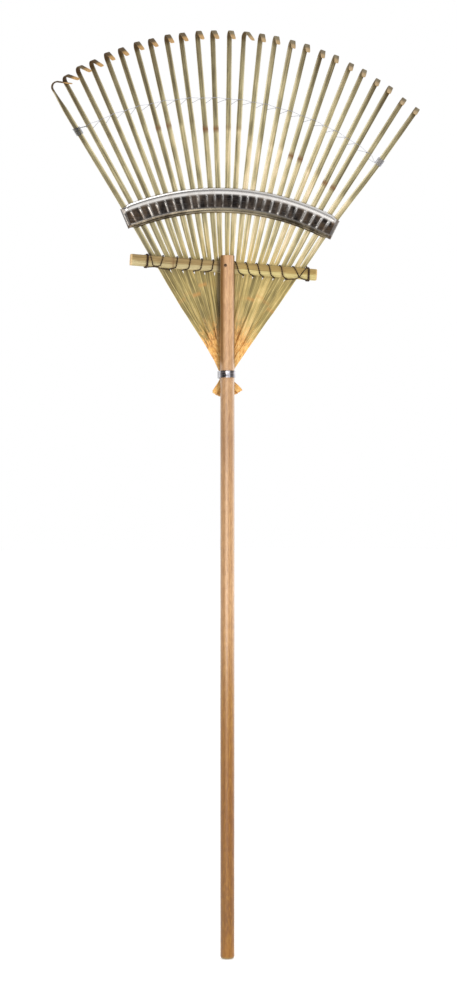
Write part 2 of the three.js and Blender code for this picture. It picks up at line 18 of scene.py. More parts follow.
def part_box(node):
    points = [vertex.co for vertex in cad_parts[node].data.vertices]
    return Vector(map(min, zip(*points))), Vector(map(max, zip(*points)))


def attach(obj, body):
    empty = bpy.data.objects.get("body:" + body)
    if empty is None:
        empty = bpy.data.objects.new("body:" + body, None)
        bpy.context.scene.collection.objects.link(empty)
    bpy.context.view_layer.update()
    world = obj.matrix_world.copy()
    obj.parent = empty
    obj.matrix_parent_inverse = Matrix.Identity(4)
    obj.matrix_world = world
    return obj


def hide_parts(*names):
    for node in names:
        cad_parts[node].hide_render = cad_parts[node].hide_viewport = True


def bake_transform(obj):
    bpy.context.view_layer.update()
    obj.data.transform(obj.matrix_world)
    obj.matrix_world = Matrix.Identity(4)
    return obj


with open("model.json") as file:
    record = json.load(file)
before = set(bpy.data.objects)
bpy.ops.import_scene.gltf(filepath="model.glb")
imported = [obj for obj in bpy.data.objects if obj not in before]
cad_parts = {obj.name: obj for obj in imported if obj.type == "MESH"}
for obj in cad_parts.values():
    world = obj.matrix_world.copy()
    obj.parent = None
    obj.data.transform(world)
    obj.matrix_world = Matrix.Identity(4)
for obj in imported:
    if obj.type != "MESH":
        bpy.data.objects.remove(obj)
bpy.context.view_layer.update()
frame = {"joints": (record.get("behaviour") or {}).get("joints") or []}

HEAD = "handle_and_head"
TINES = "tine_ends"
MM = 0.001


def box_mm(node):
    low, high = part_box(node)
    return low / MM, high / MM


# ---- dimensions

handle_high = box_mm("handle")[1]
HANDLE_RADIUS = handle_high.x
HANDLE_LENGTH = handle_high.z
BUTT_ROUNDING = 5
TOP_ROUNDING = 1.2

# The fan spreads from an apex inside the base band. The flex line comes from the joint.
APEX_X, SLAT_PLANE_Y, FLEX_Z = (v / MM for v in frame["joints"][0]["pos_m"])
APEX_Z = 1011
HEAD_ROLL = radians(1.9)
SLAT_COUNT = 13
MIDDLE_SLAT = (SLAT_COUNT - 1) / 2
SLAT_PITCH = radians(5.4)

# Places along a slat, and its outlines as (r, value) corners.
TAIL_R, BUNDLED_R, FANNED_R, PLANE_R = -36, 62, 122, 140
PARTING_R, MIDWAY_R = 200, 270
REACH_CENTRE, REACH_EDGE = 600, 586
BUNDLE_Y = 25.2
BUNDLED_WIDTH = 11
OUTER_SIDE = 7.1
SIDE_GAP, NECK_GAP = -0.5, 2.2
LAP, LAP_STEP = 0.7, 0.2
SIDE_STEP = [(BUNDLED_R, 0), (190, 0.3), (230, 0.3), (290, 0)]
SLAT_THICKNESS = [(BUNDLED_R, 1.5), (PLANE_R, 2.6)]
LEVEL_STEP = 1.8
LAYER_GAP = 0.3
TINE_OFFSET = [(PARTING_R, 3.9), (REACH_CENTRE, 13.35)]
TINE_WIDTH = [(PARTING_R, 6.9), (MIDWAY_R, 9.8), (REACH_CENTRE, 8.8)]
TINE_THICKNESS = 2.6
TIP_WIDTH, TIP_THICKNESS = 7.6, 2.0
HOOK_BEND_RADIUS = 9
HOOK_BEND = radians(127)
HOOK_STRAIGHT = 25

# Degrees that the hooks are turned about their tines: evenly from left to right, but for a few.
HOOK_TWISTS = [(0, 8), (2 * SLAT_COUNT - 1, -6)]
KNOCKED_HOOKS = {0: 66, 1: 28, 2: 22, 3: 16, 13: 16}

CLEARANCE = 0.35
FACE_FRONT_Y = SLAT_PLANE_Y - TINE_THICKNESS / 2 - CLEARANCE
FACE_BACK_Y = SLAT_PLANE_Y + TINE_THICKNESS / 2 + CLEARANCE

BRACE_MID_R = 305.5
BRACE_RADIUS = 440
BRACE_REACH = 190.7
BRACE_HEIGHT, BACK_STRAP_HEIGHT = 44, 36
STRAP_THICKNESS = 1
BRACE_TAB = 12

BAR_CENTRE = Vector((-2, 0, 1200))
BAR_TILT = radians(3.7)
BAR_LENGTH, BAR_HEIGHT, BAR_DEPTH = 331, 20, 5.7
# Heights above the crossbar's middle line at which a slat narrows and splits.
NECK_START_H, NECK_END_H, SPLIT_H = -16, -13, 12
LACE_ENDS = (-137.5, 150.5)

SPACER_R = 481
SPACER_SLOPE = -0.36

NAIL_BEARING = radians(27.6)


# ---- small maths


def outline(corners, r):
    """The value at r of (r, value) corners, held constant past both ends."""
    if r <= corners[0][0]:
        return corners[0][1]
    for (r0, v0), (r1, v1) in zip(corners, corners[1:]):
        if r <= r1:
            return v0 + (v1 - v0) * (r - r0) / (r1 - r0)
    return corners[-1][1]


def ease(low, high, value):
    """0 below low, 1 above high, smooth between them."""
    t = min(1, max(0, (value - low) / (high - low)))
    return t * t * (3 - 2 * t)


def bump_at(distance, half_width):
    """1 at distance 0, falling smoothly to 0 at half_width."""
    return 1 - ease(0, half_width, abs(distance))


def spread(low, high, count):
    return [low + (high - low) * i / (count - 1) for i in range(count)]


def arc(radius, start, end, count):
    """Points of a circle from one angle to another, in degrees."""
    turns = spread(radians(start), radians(end), count)
    return [(radius * cos(a), radius * sin(a)) for a in turns]


def wander(seed, along, scale):
    """Smooth noise in -1..1 along a piece."""
    return noise.noise(Vector((seed * 17.3, seed * 5.1, along / scale)))


def smooth_path(points, steps):
    """A Catmull-Rom curve through the points."""
    path = []
    last = len(points) - 1
    for i in range(last):
        p0, p1, p2, p3 = (points[min(max(k, 0), last)] for k in (i - 1, i, i + 1, i + 2))
        square = 2 * p0 - 5 * p1 + 4 * p2 - p3
        cube = 3 * p1 - p0 - 3 * p2 + p3
        for k in range(steps):
            t = k / steps
            path.append(0.5 * (2 * p1 + (p2 - p0) * t + square * t * t + cube * t * t * t))
    path.append(points[-1].copy())
    return path


# ---- mesh building

# A lathed end is closed by a last ring this small.
CLOSED = 0.01


def loft(rings, closed=False, skip=None):
    """Points and faces of a skin through rings of equal length, with flat caps unless closed."""
    sides = len(rings[0])
    count = len(rings)
    faces = []
    for i in range(count if closed else count - 1):
        ahead = (i + 1) % count
        for j in range(sides):
            if skip and skip(i, j):
                continue
            k = (j + 1) % sides
            faces.append((i * sides + j, i * sides + k, ahead * sides + k, ahead * sides + j))
    if not closed:
        faces.append(tuple(reversed(range(sides))))
        faces.append(tuple(range((count - 1) * sides, count * sides)))
    return [p for ring in rings for p in ring], faces


def tube_rings(path, radius, sides):
    """Rings round a path, carried along without twisting."""
    normal = Vector((0.31, 0.53, 0.79))
    turns = [2 * pi * j / sides for j in range(sides)]
    rings = []
    for i, point in enumerate(path):
        tangent = (path[min(i + 1, len(path) - 1)] - path[max(i - 1, 0)]).normalized()
        normal = (normal - tangent * normal.dot(tangent)).normalized()
        side = tangent.cross(normal)
        rings.append([point + (normal * cos(a) + side * sin(a)) * radius for a in turns])
    return rings


def lathe_rings(profile, sides, wobble=None):
    """Rings round z from (radius, z) pairs."""
    rings = []
    for radius, z in profile:
        ring = []
        for j in range(sides):
            a = 2 * pi * j / sides
            r = radius + (wobble(a, z) if wobble else 0)
            ring.append(Vector((r * cos(a), r * sin(a), z)))
        rings.append(ring)
    return rings


def merged(parts):
    """One list of points and faces from several."""
    points, faces = [], []
    for more_points, more_faces in parts:
        start = len(points)
        points += more_points
        faces += [tuple(start + i for i in face) for face in more_faces]
    return points, faces


def placed(shape, place):
    points, faces = shape
    return [place @ p for p in points], faces


def add_object(name, data):
    made = bpy.data.objects.new(name, data)
    bpy.context.scene.collection.objects.link(made)
    return made


def make_piece(name, shape, material, nodes, attributes=None, sharp=38, body=HEAD):
    """A finished object from points in millimetres and faces. It stands for the CAD nodes."""
    points, faces = shape
    mesh = bpy.data.meshes.new(name)
    mesh.from_pydata([p * MM for p in points], [], faces)
    for key, values in (attributes or {}).items():
        if isinstance(values[0], Vector):
            layer = mesh.attributes.new(key, "FLOAT_VECTOR", "POINT")
            layer.data.foreach_set("vector", [c for v in values for c in v])
        else:
            layer = mesh.attributes.new(key, "FLOAT", "POINT")
            layer.data.foreach_set("value", values)
    work = bmesh.new()
    work.from_mesh(mesh)
    bmesh.ops.remove_doubles(work, verts=work.verts, dist=1e-7)
    bmesh.ops.recalc_face_normals(work, faces=work.faces)
    work.to_mesh(mesh)
    work.free()
    mesh.shade_smooth()
    mesh.set_sharp_from_angle(angle=radians(sharp))
    mesh.materials.append(material)
    piece = add_object(name, mesh)
    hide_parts(*nodes)
    if body:
        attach(piece, body)
    return piece


# ---- materials


def srgb(red, green, blue):
    """A colour of 0..255 display values as linear light."""
    def linear(v):
        v /= 255
        return v / 12.92 if v <= 0.04045 else ((v + 0.055) / 1.055) ** 2.4

    return (linear(red), linear(green), linear(blue), 1)


class Nodes:
    """A node tree, written a node at a time. Every call returns the socket to link on.

    A colour is a socket, three display values of 0 to 255, or four linear values.
    """

    def __init__(self, tree):
        self.tree = tree

    def node(self, kind, inputs=None, **settings):
        made = self.tree.nodes.new("ShaderNode" + kind)
        for key, value in settings.items():
            setattr(made, key, value)
        for key, value in (inputs or {}).items():
            self.put(made.inputs[key], value)
        return made

    def put(self, socket, value):
        if isinstance(value, bpy.types.NodeSocket):
            self.tree.links.new(value, socket)
        elif socket.type == "RGBA" and len(value) == 3:
            socket.default_value = srgb(*value)
        else:
            socket.default_value = value

    def vector(self, name):
        return self.node("Attribute", attribute_name=name).outputs["Vector"]

    def value(self, name):
        return self.node("Attribute", attribute_name=name).outputs["Fac"]

    def place(self):
        return self.node("TexCoord").outputs["Object"]

    def normal(self):
        return self.node("NewGeometry").outputs["Normal"]

    def part(self, vector, axis):
        return self.node("SeparateXYZ", {0: vector}).outputs[axis]

    def noise(self, vector, scales, detail=3, roughness=0.55):
        scaled = self.node("VectorMath", {0: vector, 1: scales}, operation="MULTIPLY")
        inputs = {0: scaled.outputs[0], "Scale": 1, "Detail": detail, "Roughness": roughness}
        return self.node("TexNoise", inputs).outputs["Fac"]

    def math(self, operation, a, b=0, clamp=False):
        made = self.node("Math", {0: a, 1: b}, operation=operation, use_clamp=clamp)
        return made.outputs[0]

    def times(self, a, b):
        return self.math("MULTIPLY", a, b)

    def plus(self, a, b, clamp=False):
        return self.math("ADD", a, b, clamp)

    def span(self, value, low, high, to_low=0, to_high=1):
        """to_low where the value is below low, to_high above high, smooth between them."""
        inputs = {"Value": value, 1: low, 2: high, 3: to_low, 4: to_high}
        return self.node("MapRange", inputs, interpolation_type="SMOOTHSTEP").outputs[0]

    def mix(self, factor, a, b, blend="MIX"):
        inputs = {0: factor, 6: a, 7: b}
        return self.node("Mix", inputs, data_type="RGBA", blend_type=blend).outputs[2]

    def ramp(self, value, stops):
        made = self.node("ValToRGB", {"Fac": value})
        elements = made.color_ramp.elements
        while len(elements) < len(stops):
            elements.new(0.5)
        for element, (position, colour) in zip(elements, stops.items()):
            element.position = position
            element.color = srgb(*colour)
        return made.outputs["Color"]


class Finish(Nodes):
    """A material for one kind of surface."""

    def __init__(self, name):
        self.material = bpy.data.materials.new(name)
        self.material.use_nodes = True
        super().__init__(self.material.node_tree)
        self.surface = self.tree.nodes["Principled BSDF"]

    def set(self, **values):
        for key, value in values.items():
            self.put(self.surface.inputs[key.replace("_", " ")], value)

    def paint(self, factor, colour, blend="MIX"):
        """Mixes one more colour over those so far."""
        self.colour = self.mix(factor, self.colour, colour, blend)

    def finished(self, height, strength, distance_mm, **values):
        """The material, with its colour, its bump and the surface's other values."""
        inputs = {"Height": height, "Strength": strength, "Distance": distance_mm * MM}
        bumped = self.node("Bump", inputs).outputs[0]
        self.set(Base_Color=self.colour, Normal=bumped, **values)
        return self.material

    def painted_shadow_beside_handle(self):
        """Painted shadow on what lies just behind the handle, 0 away from it."""
        place = self.place()
        sideways = self.math("ABSOLUTE", self.part(place, 0))
        near = self.span(sideways, HANDLE_RADIUS * MM, (HANDLE_RADIUS + 6.5) * MM, 0.85, 0)
        height = self.part(place, 2)
        below_top = self.span(height, (HANDLE_LENGTH - 4) * MM, (HANDLE_LENGTH + 2) * MM, 1, 0)
        above_band = self.span(height, (APEX_Z + 20) * MM, (APEX_Z + 120) * MM, 0.65, 1)
        faces_front = self.span(self.part(self.normal(), 1), -0.6, -0.1, 1, 0)
        near = self.times(near, faces_front)
        return self.times(self.times(near, below_top), above_band)


def bamboo_finish():
    """Slats and tines. The strip attribute runs with the fibres: across, depth, along, in mm."""
    f = Finish("bamboo_skin_and_fibre")
    strip = f.vector("strip")
    fibre = f.noise(strip, (1.6, 1.6, 0.012), detail=4, roughness=0.65)
    streak = f.noise(strip, (0.55, 0.55, 0.006))
    cloud = f.noise(strip, (0.10, 0.10, 0.022))
    fleck = f.noise(strip, (0.5, 0.5, 0.13), detail=4, roughness=0.7)
    shade = f.plus(f.value("tone"), f.span(streak, 0.25, 0.75, -0.22, 0.22))
    shade = f.plus(shade, f.span(cloud, 0.3, 0.7, -0.16, 0.16), clamp=True)
    dark_skin = {0: (76, 66, 38), 0.3: (115, 106, 74), 0.55: (149, 139, 102)}
    pale_skin = {0.78: (188, 171, 130), 1: (222, 202, 172)}
    pith = {0: (172, 158, 118), 0.5: (212, 201, 166), 1: (238, 230, 206)}
    pith_shade = f.plus(f.times(shade, 0.5), f.span(fibre, 0.3, 0.7, 0.05, 0.45))
    skin = f.ramp(shade, dark_skin | pale_skin)
    f.colour = f.mix(f.value("skin"), f.ramp(pith_shade, pith), skin)
    yellowed = f.span(f.part(strip, 2), PARTING_R - 20, MIDWAY_R + 10, 0.75, 0)
    f.paint(yellowed, (255, 240, 178), "MULTIPLY")
    f.paint(f.span(fibre, 0.55, 0.75, 0, 0.28), (96, 74, 36))
    f.paint(f.span(fleck, 0.66, 0.78, 0, 0.55), (128, 84, 36))

    # The tails are golden, with darker freckles a little further up.
    speck = f.span(fleck, 0.3, 0.7)
    golden = {0: (168, 104, 44), 0.3: (220, 158, 80), 0.6: (236, 186, 106), 1: (242, 204, 140)}
    singed = {0: (150, 92, 40), 0.45: (212, 148, 76), 1: (240, 190, 112)}
    freckles = f.times(f.span(fleck, 0.45, 0.6), f.value("freckled"))
    gold = f.plus(f.value("gold"), freckles, clamp=True)
    inwards = f.span(f.value("gold"), 0.7, 1)
    tail = f.mix(inwards, f.ramp(speck, singed), f.ramp(speck, golden))
    f.paint(f.times(gold, 0.9), tail)

    ring_colour = f.mix(yellowed, (106, 64, 24), (206, 150, 80))
    marked = f.times(f.value("mark"), f.span(fibre, 0.2, 0.6, 0.55, 0.95))
    f.paint(marked, ring_colour)
    scorched = f.times(f.value("scorch"), f.span(cloud, 0.2, 0.6, 0.8, 1))
    f.paint(scorched, (64, 44, 20))
    tip = f.times(f.value("tip"), f.span(fleck, 0.2, 0.6, 0.6, 1))
    f.paint(tip, (184, 140, 82))
    # Painted shadow of the handle on the slats.
    f.paint(f.painted_shadow_beside_handle(), (62, 50, 24))
    return f.finished(
        fibre, 0.5, 0.35,
        Roughness=f.span(fibre, 0.2, 0.8, 0.38, 0.62),
        Specular_IOR_Level=f.span(f.value("scorch"), 0.2, 0.8, 0.4, 0.08),
        Coat_Weight=f.times(f.value("skin"), 0.08),
        Coat_Roughness=0.32,
    )


def stick_finish():
    """Crossbar sticks: brown rind on the upper part, paler wood on the lower one, porous ends."""
    f = Finish("bamboo_stick")
    strip = f.vector("strip")
    fibre = f.noise(strip, (0.012, 1.4, 1.4), detail=4, roughness=0.65)
    cloud = f.noise(strip, (0.02, 0.2, 0.2))
    lines = f.span(fibre, 0.25, 0.75)
    rind = f.ramp(lines, {0: (104, 82, 42), 0.5: (138, 114, 68), 1: (170, 146, 96)})
    wood = f.ramp(lines, {0: (136, 122, 80), 0.5: (172, 156, 110), 1: (198, 184, 144)})
    height = f.plus(f.part(strip, 2), f.span(cloud, 0.3, 0.7, -1.5, 1.5))
    f.colour = f.mix(f.span(height, -2.5, 0.5), wood, rind)
    # Painted light: the sticks are brighter to the right of the handle.
    sunlit = f.span(f.part(f.place(), 0), 0, 30 * MM)
    f.paint(sunlit, (1.2, 1.2, 0.98, 1), "MULTIPLY")
    f.paint(f.value("mark"), (110, 74, 34))
    pores = f.node("TexVoronoi", {"Vector": strip, "Scale": 0.9}).outputs["Distance"]
    sawn = {0: (120, 84, 44), 0.45: (190, 148, 92), 1: (214, 182, 130)}
    f.paint(f.value("end"), f.ramp(f.span(pores, 0.05, 0.5), sawn))
    # Painted shadow of the handle on the sticks.
    f.paint(f.painted_shadow_beside_handle(), (62, 48, 24))
    return f.finished(fibre, 0.5, 0.4, Roughness=f.span(fibre, 0.2, 0.8, 0.42, 0.68))


def handle_finish():
    """Varnished dowel with straight grain, pale at the top, browner and duller towards the butt."""
    f = Finish("varnished_wood")
    place = f.place()
    height = f.part(place, 2)
    share = f.math("DIVIDE", height, HANDLE_LENGTH * MM)
    f.colour = f.ramp(share, {
        0: (186, 130, 54),
        0.05: (146, 100, 46),
        0.22: (150, 104, 56),
        0.40: (176, 126, 72),
        0.62: (198, 152, 98),
        0.80: (192, 148, 100),
        1: (190, 142, 100),
    })

    # Grain: year rings cut lengthwise, fibres, pores and patches of both.
    drift = f.noise(place, (3, 3, 0.9), detail=2)
    rings_at = f.plus(f.part(place, 0), f.times(drift, 0.03))
    rings_at = f.plus(rings_at, f.times(f.part(place, 1), 0.55))
    rings = f.math("SINE", f.times(rings_at, 1500))
    fibre = f.noise(place, (900, 900, 9), detail=4, roughness=0.7)
    pores = f.noise(place, (1500, 1500, 26), detail=2)
    patch = f.noise(place, (40, 40, 5))
    mottled = f.noise(place, (330, 330, 70), detail=4, roughness=0.75)
    f.paint(f.span(rings, -0.2, 1, 0, 0.28), (122, 80, 38))
    f.paint(f.span(fibre, 0.35, 0.7, 0, 0.4), (218, 176, 122))
    f.paint(f.span(pores, 0.62, 0.75, 0, 0.55), (92, 60, 28))
    f.paint(f.span(patch, 0.35, 0.75, 0, 0.22), (138, 90, 44))
    f.paint(f.span(mottled, 0.48, 0.66, 0, 0.4), (126, 80, 36))
    f.paint(f.span(mottled, 0.52, 0.34, 0, 0.25), (232, 194, 142))
    # Darker and yellower towards the butt, and a little darker again between about 0.6 and 0.8 of
    # the height.
    height_dimming = f.ramp(share, {
        0: (210, 190, 84),
        0.2: (206, 178, 76),
        0.37: (220, 204, 122),
        0.52: (252, 250, 250),
        0.62: (236, 230, 222),
        0.73: (216, 206, 194),
        0.88: (255, 255, 255),
    })
    f.paint(1, height_dimming, "MULTIPLY")

    # Painted shade: the left side is darker, and so are the narrow flanks in front of the slats.
    normal = f.normal()
    f.paint(f.span(f.part(normal, 0), -0.95, -0.3, 0.36, 0), (112, 78, 36))
    facing = f.part(normal, 1)
    flanks = f.times(f.span(facing, -0.85, -0.5), f.span(facing, -0.3, 0.05, 1, 0.1))
    beside_slats = f.span(height, (APEX_Z + 10) * MM, (APEX_Z + 30) * MM)
    shaded = f.times(flanks, beside_slats)
    f.paint(f.times(shaded, 0.75), (100, 70, 36))
    f.paint(f.span(height, 0, BUTT_ROUNDING * MM, 0.8, 0), (150, 136, 92))
    gloss = f.span(height, 0.34, 0.6, 0.55, 1)
    return f.finished(
        fibre, 0.22, 0.25,
        Roughness=f.span(fibre, 0.2, 0.8, 0.34, 0.5),
        Specular_IOR_Level=f.times(f.span(shaded, 0, 1, 0.5, 0.1), gloss),
        Coat_Weight=f.times(f.span(shaded, 0, 0.8, 1, 0), gloss),
        Coat_Roughness=f.span(patch, 0.3, 0.8, 0.3, 0.42),
    )


BRIGHT_SCRATCH = (225, 225, 228)


def steel_finish(name, tint, roughness, blotch, grain, tarnish=0):
    """Bare wire or a nail: scratches, stains and dulled patches. tarnish darkens its far left."""
    f = Finish(name)
    place = f.place()
    scratches = f.noise(place, (grain, grain, grain), roughness=0.7)
    stain = f.noise(place, (90, 90, 90), detail=4, roughness=0.65)
    f.colour = f.mix(f.span(stain, 0.42, 0.72, 0, blotch), tint, (86, 66, 48))
    f.paint(f.span(scratches, 0.5, 0.8, 0, 0.25), BRIGHT_SCRATCH)
    tarnished = f.span(f.part(place, 0), -246 * MM, -238 * MM, tarnish, 0)
    f.paint(tarnished, (46, 52, 56))
    scratched = f.span(scratches, 0.3, 0.8, roughness, roughness + 0.1)
    return f.finished(
        scratches, 0.12, 0.1,
        Metallic=1,
        Roughness=f.plus(f.span(stain, 0.3, 0.8, 0, 0.16), scratched),
    )


def brace_finish():
    """Bright pressed steel. The web is painted dark between ribs with painted highlights: partly
    bluing, partly painted shade and dark reflection in its recess; browner at both ends. The lower
    lip is painted tan, a painted reflection of the bamboo below.
    """
    f = Finish("pressed_brace_steel")
    place = f.place()
    scratches = f.noise(place, (60, 900, 900), roughness=0.7)
    stain = f.noise(place, (60, 60, 30), detail=4, roughness=0.65)
    smudge = f.noise(place, (24, 24, 24))
    f.colour = f.mix(f.span(stain, 0.45, 0.75, 0, 0.3), (206, 203, 200), (120, 98, 68))
    outwards = f.span(f.math("ABSOLUTE", f.part(place, 0)), 30 * MM, 110 * MM)
    # Painted reflection of the bamboo below on the lower lip, darker towards both ends.
    lip = f.mix(f.span(smudge, 0.35, 0.65), (96, 85, 66), (150, 139, 116))
    lip = f.mix(outwards, lip, f.mix(f.span(stain, 0.4, 0.6), (62, 54, 42), (112, 101, 82)))
    f.paint(f.value("lip"), lip)
    # Painted shade and dark reflection in the web's recess, over some bluing.
    dark = f.mix(f.span(stain, 0.3, 0.7), (32, 29, 28), (80, 72, 66))
    rusty = f.times(f.value("rust"), f.span(stain, 0.35, 0.65))
    dark = f.mix(rusty, dark, (96, 76, 54))
    web = f.value("web")
    f.paint(web, dark)
    f.paint(f.span(scratches, 0.5, 0.8, 0, 0.15), BRIGHT_SCRATCH)
    return f.finished(
        scratches, 0.12, 0.1,
        Metallic=1,
        Roughness=f.plus(f.span(web, 0, 1, 0.12, 0.3), f.span(stain, 0.3, 0.8, 0, 0.16)),
    )


def band_finish():
    """A polished strip with painted reflections: a painted highlight down the middle of its front
    and at its sides, painted dark reflection between.
    """
    f = Finish("polished_band_steel")
    place = f.place()
    scratches = f.noise(place, (60, 60, 1500), roughness=0.7)
    stain = f.noise(place, (160, 160, 160), detail=4, roughness=0.65)
    sideways = f.math("ABSOLUTE", f.plus(f.part(place, 0), 1.5 * MM))
    # Painted highlights down the middle of the front and at the sides, painted dark reflection
    # between them.
    middle = f.span(sideways, 2.5 * MM, 4.5 * MM, 1, 0)
    painted_highlight = f.plus(middle, f.span(sideways, 10.5 * MM, 12.8 * MM), clamp=True)
    dark_reflection = f.mix(f.span(stain, 0.35, 0.65), (64, 60, 62), (96, 90, 90))
    bright = f.mix(f.span(stain, 0.4, 0.7), (190, 188, 196), (146, 144, 154))
    f.colour = f.mix(painted_highlight, dark_reflection, bright)
    f.paint(f.span(scratches, 0.5, 0.8, 0, 0.3), (228, 228, 232))
    return f.finished(
        scratches, 0.12, 0.1,
        Metallic=f.span(painted_highlight, 0, 1, 1, 0.45),
        Roughness=f.span(scratches, 0.3, 0.8, 0.16, 0.3),
    )


BAMBOO = bamboo_finish()
STICK = stick_finish()
HANDLE = handle_finish()
BRACE_STEEL = brace_finish()
BAND_STEEL = band_finish()
NAIL_STEEL = steel_finish("nail_steel", (84, 62, 48), 0.45, blotch=0.8, grain=500)
LACE_STEEL = steel_finish("annealed_wire", (70, 54, 40), 0.5, blotch=0.8, grain=700)
ZINC_STEEL = steel_finish("galvanised_wire", (168, 169, 178), 0.36, 0.3, grain=800, tarnish=0.8)


# ---- the fan's frame

HEAD_FRAME = Matrix.Translation((APEX_X, 0, APEX_Z)) @ Matrix.Rotation(HEAD_ROLL, 4, "Y")


def slat_angle(slat):
    """Angle from the middle slat; slats are numbered 0 to 12 from the left."""
    return (slat - MIDDLE_SLAT) * SLAT_PITCH


def slat_frame(slat):
    """x across the slat, y backwards, z along it from the apex."""
    return HEAD_FRAME @ Matrix.Rotation(slat_angle(slat), 4, "Y")


def slat_level(slat):
    """How many levels a slat lies from the bundle's middle under the band."""
    from_middle = abs(slat - MIDDLE_SLAT)
    right_side = 1 if slat > MIDDLE_SLAT else 0
    if slat % 2 == 0:
        return max(0, from_middle - right_side)
    return MIDDLE_SLAT - from_middle - right_side


def slat_depth(slat, r):
    """y of a slat's middle: in two stacks under the band, in one plane further out."""
    layer = -1 if slat % 2 == 0 else 1
    spread_out = ease(BUNDLED_R, FANNED_R, r)
    thickness = outline(SLAT_THICKNESS, r)
    separation = (thickness + LAYER_GAP) / 2 * (1 - ease(FANNED_R, PLANE_R, r))
    level = slat_level(slat) * LEVEL_STEP * (1 - spread_out)
    lap = LAP_STEP * (1 - ease(PLANE_R, PARTING_R, r))
    middle = BUNDLE_Y + (SLAT_PLANE_Y - BUNDLE_Y) * spread_out
    return middle + layer * (separation + level + lap)


def crossing_angle(slat):
    """The angle at which a slat crosses the crossbar, 0 being straight across it."""
    return slat_angle(slat) + HEAD_ROLL - BAR_TILT


def crossbar_distance(slat, h):
    """r at which a slat crosses a line along the crossbar, h above its middle."""
    across, above = BAR_CENTRE.x - APEX_X, BAR_CENTRE.z - APEX_Z
    height = across * sin(BAR_TILT) + above * cos(BAR_TILT) + h
    return height / cos(crossing_angle(slat))


def split_distance(slat):
    return crossbar_distance(slat, SPLIT_H)


def slat_stray(slat, r):
    """How far a slat strays sideways from its straight line at r."""
    return (slat - MIDDLE_SLAT) * outline(SIDE_STEP, r)


def side_outline(slat, side):
    """(r, half width) corners of one side of a slat, up to where it splits."""
    outermost = slat == (0 if side < 0 else SLAT_COUNT - 1)

    def half(r, gap):
        beside = (r * SLAT_PITCH + outline(SIDE_STEP, r) - gap) / 2
        return (r, min(beside, OUTER_SIDE) if outermost else beside)

    # The neck runs level with the crossbar, so on a leaning slat it lies higher on one side.
    split = split_distance(slat)
    lean = side * OUTER_SIDE * tan(crossing_angle(slat))
    neck_start = crossbar_distance(slat, NECK_START_H) + lean
    neck_end = crossbar_distance(slat, NECK_END_H) + lean
    pair = outline(TINE_OFFSET, split) + outline(TINE_WIDTH, split) / 2
    return [
        (BUNDLED_R, BUNDLED_WIDTH / 2),
        (FANNED_R, BUNDLED_WIDTH / 2 + LAP),
        half(PLANE_R, SIDE_GAP),
        half(neck_start, SIDE_GAP),
        half(neck_end, NECK_GAP),
        (split, pair),
    ]


SIDE_OUTLINES = {
    (slat, side): side_outline(slat, side) for slat in range(SLAT_COUNT) for side in (-1, 1)
}


def tine_reach(slat):
    outward = slat_angle(slat) / slat_angle(SLAT_COUNT - 1)
    return REACH_CENTRE + (REACH_EDGE - REACH_CENTRE) * outward * outward


# Tines beyond the brace: where they start to stray, and how far. The last two are bent outwards.
STRAY_R, STRAY = 340, 1.5
FLARE_START_R, FLARE_END_R = 320, 480
FLARE = {24: 2, 25: 5}


def tine_sway(tine, r):
    """How far a tine strays sideways, as each piece of bamboo bends a little on its own."""
    own = STRAY * wander(tine + 3, 0, 1) * ease(STRAY_R, REACH_CENTRE, r)
    return own + FLARE.get(tine, 0) * ease(FLARE_START_R, FLARE_END_R, r)


def hook_twist(tine):
    """How far a tine's hook is turned about it; tines are numbered 0 to 25 from the left."""
    return radians(KNOCKED_HOOKS.get(tine, outline(HOOK_TWISTS, tine)))


def spacer_distance(slat):
    return SPACER_R + SPACER_SLOPE * degrees(slat_angle(slat))


# ---- slats with their two tines

# One half of a slat's section, (across, depth) in -1..1: front, outer edge, back, inner edge.
FRONT = [(-0.8, 1), (-0.4, 1), (0, 1), (0.4, 1), (0.8, 1)]
OUTER_EDGE = [(0.95, 0.8), (1, 0.4), (1, -0.4), (0.95, -0.8)]
BACK = [(0.8, -1), (0, -1), (-0.8, -1)]
INNER_EDGE = [(-0.95, -0.8), (-1, -0.4), (-1, 0.4), (-0.95, 0.8)]
HALF_SECTION = FRONT + OUTER_EDGE + BACK + INNER_EDGE
BACK_START = len(FRONT) + len(OUTER_EDGE)
INNER_START = BACK_START + len(BACK)
INNER_WALL = INNER_START + 1
# How much of the bamboo's skin shows on the section's points.
SKIN_SHOWN = [1.0] * len(FRONT) + [0.45] + [0.0] * (len(HALF_SECTION) - len(FRONT) - 2) + [0.45]
BODY_CROWN, TINE_CROWN = 0.35, 0.45
NOTCH_LENGTH = 5
BODY_RINGS, NOTCH_RINGS, TINE_STEP, BEND_STEPS, STRAIGHT_STEPS = 52, 4, 8, 14, 6
TWIST_CLEAR = 20

# Nodes of the bamboo: a swelling, and a crease in its middle.
NODE_REACH, NODE_SWELL, NODE_BULGE = 4, 0.35, 0.2
CREASE_REACH, CREASE_DEPTH = 1.6, 0.3
INNER_NODE_R, INNER_NODE_STEP, INNER_NODE_STRAY = 150, -1.5, 9
OUTER_NODE_R, OUTER_NODE_STRAY = 426, 7
OUTER_NODE_RISE = [(0, 44), (3, 18), (6, 0), (9, -22), (12, -46)]
RAGGED, RAGGED_SCALE = 0.16, 21
TIP_BLUNTNESS, BLUNT_LENGTH = 0.16, 2.5

# The skin is split off along one edge: the right one of these first tines, the left one after.
PALE_RIGHT_TINES = 15
# How pale each slat's bamboo is from the leftmost one, and how much paler below its outer node.
PALENESS = [0.21, 0.26, 0.30, 0.28, 0.34, 0.37, 0.43, 0.50, 0.57, 0.46, 0.60, 0.48, 0.51]
LOW_PALER = [(0, 0.1), (6, 0.16)]
# How dark the scorched bends are, and how little of each tip is scorched, by tine.
BURNT = [(0, 1), (8, 0.92), (12, 0.82)]
TIP_BARENESS = [(0, 0.85), (10, 0.8), (14, 0.5), (25, 0.4)]
# How much lower the golden zone ends on the outermost slats.
GOLD_DIP = 14


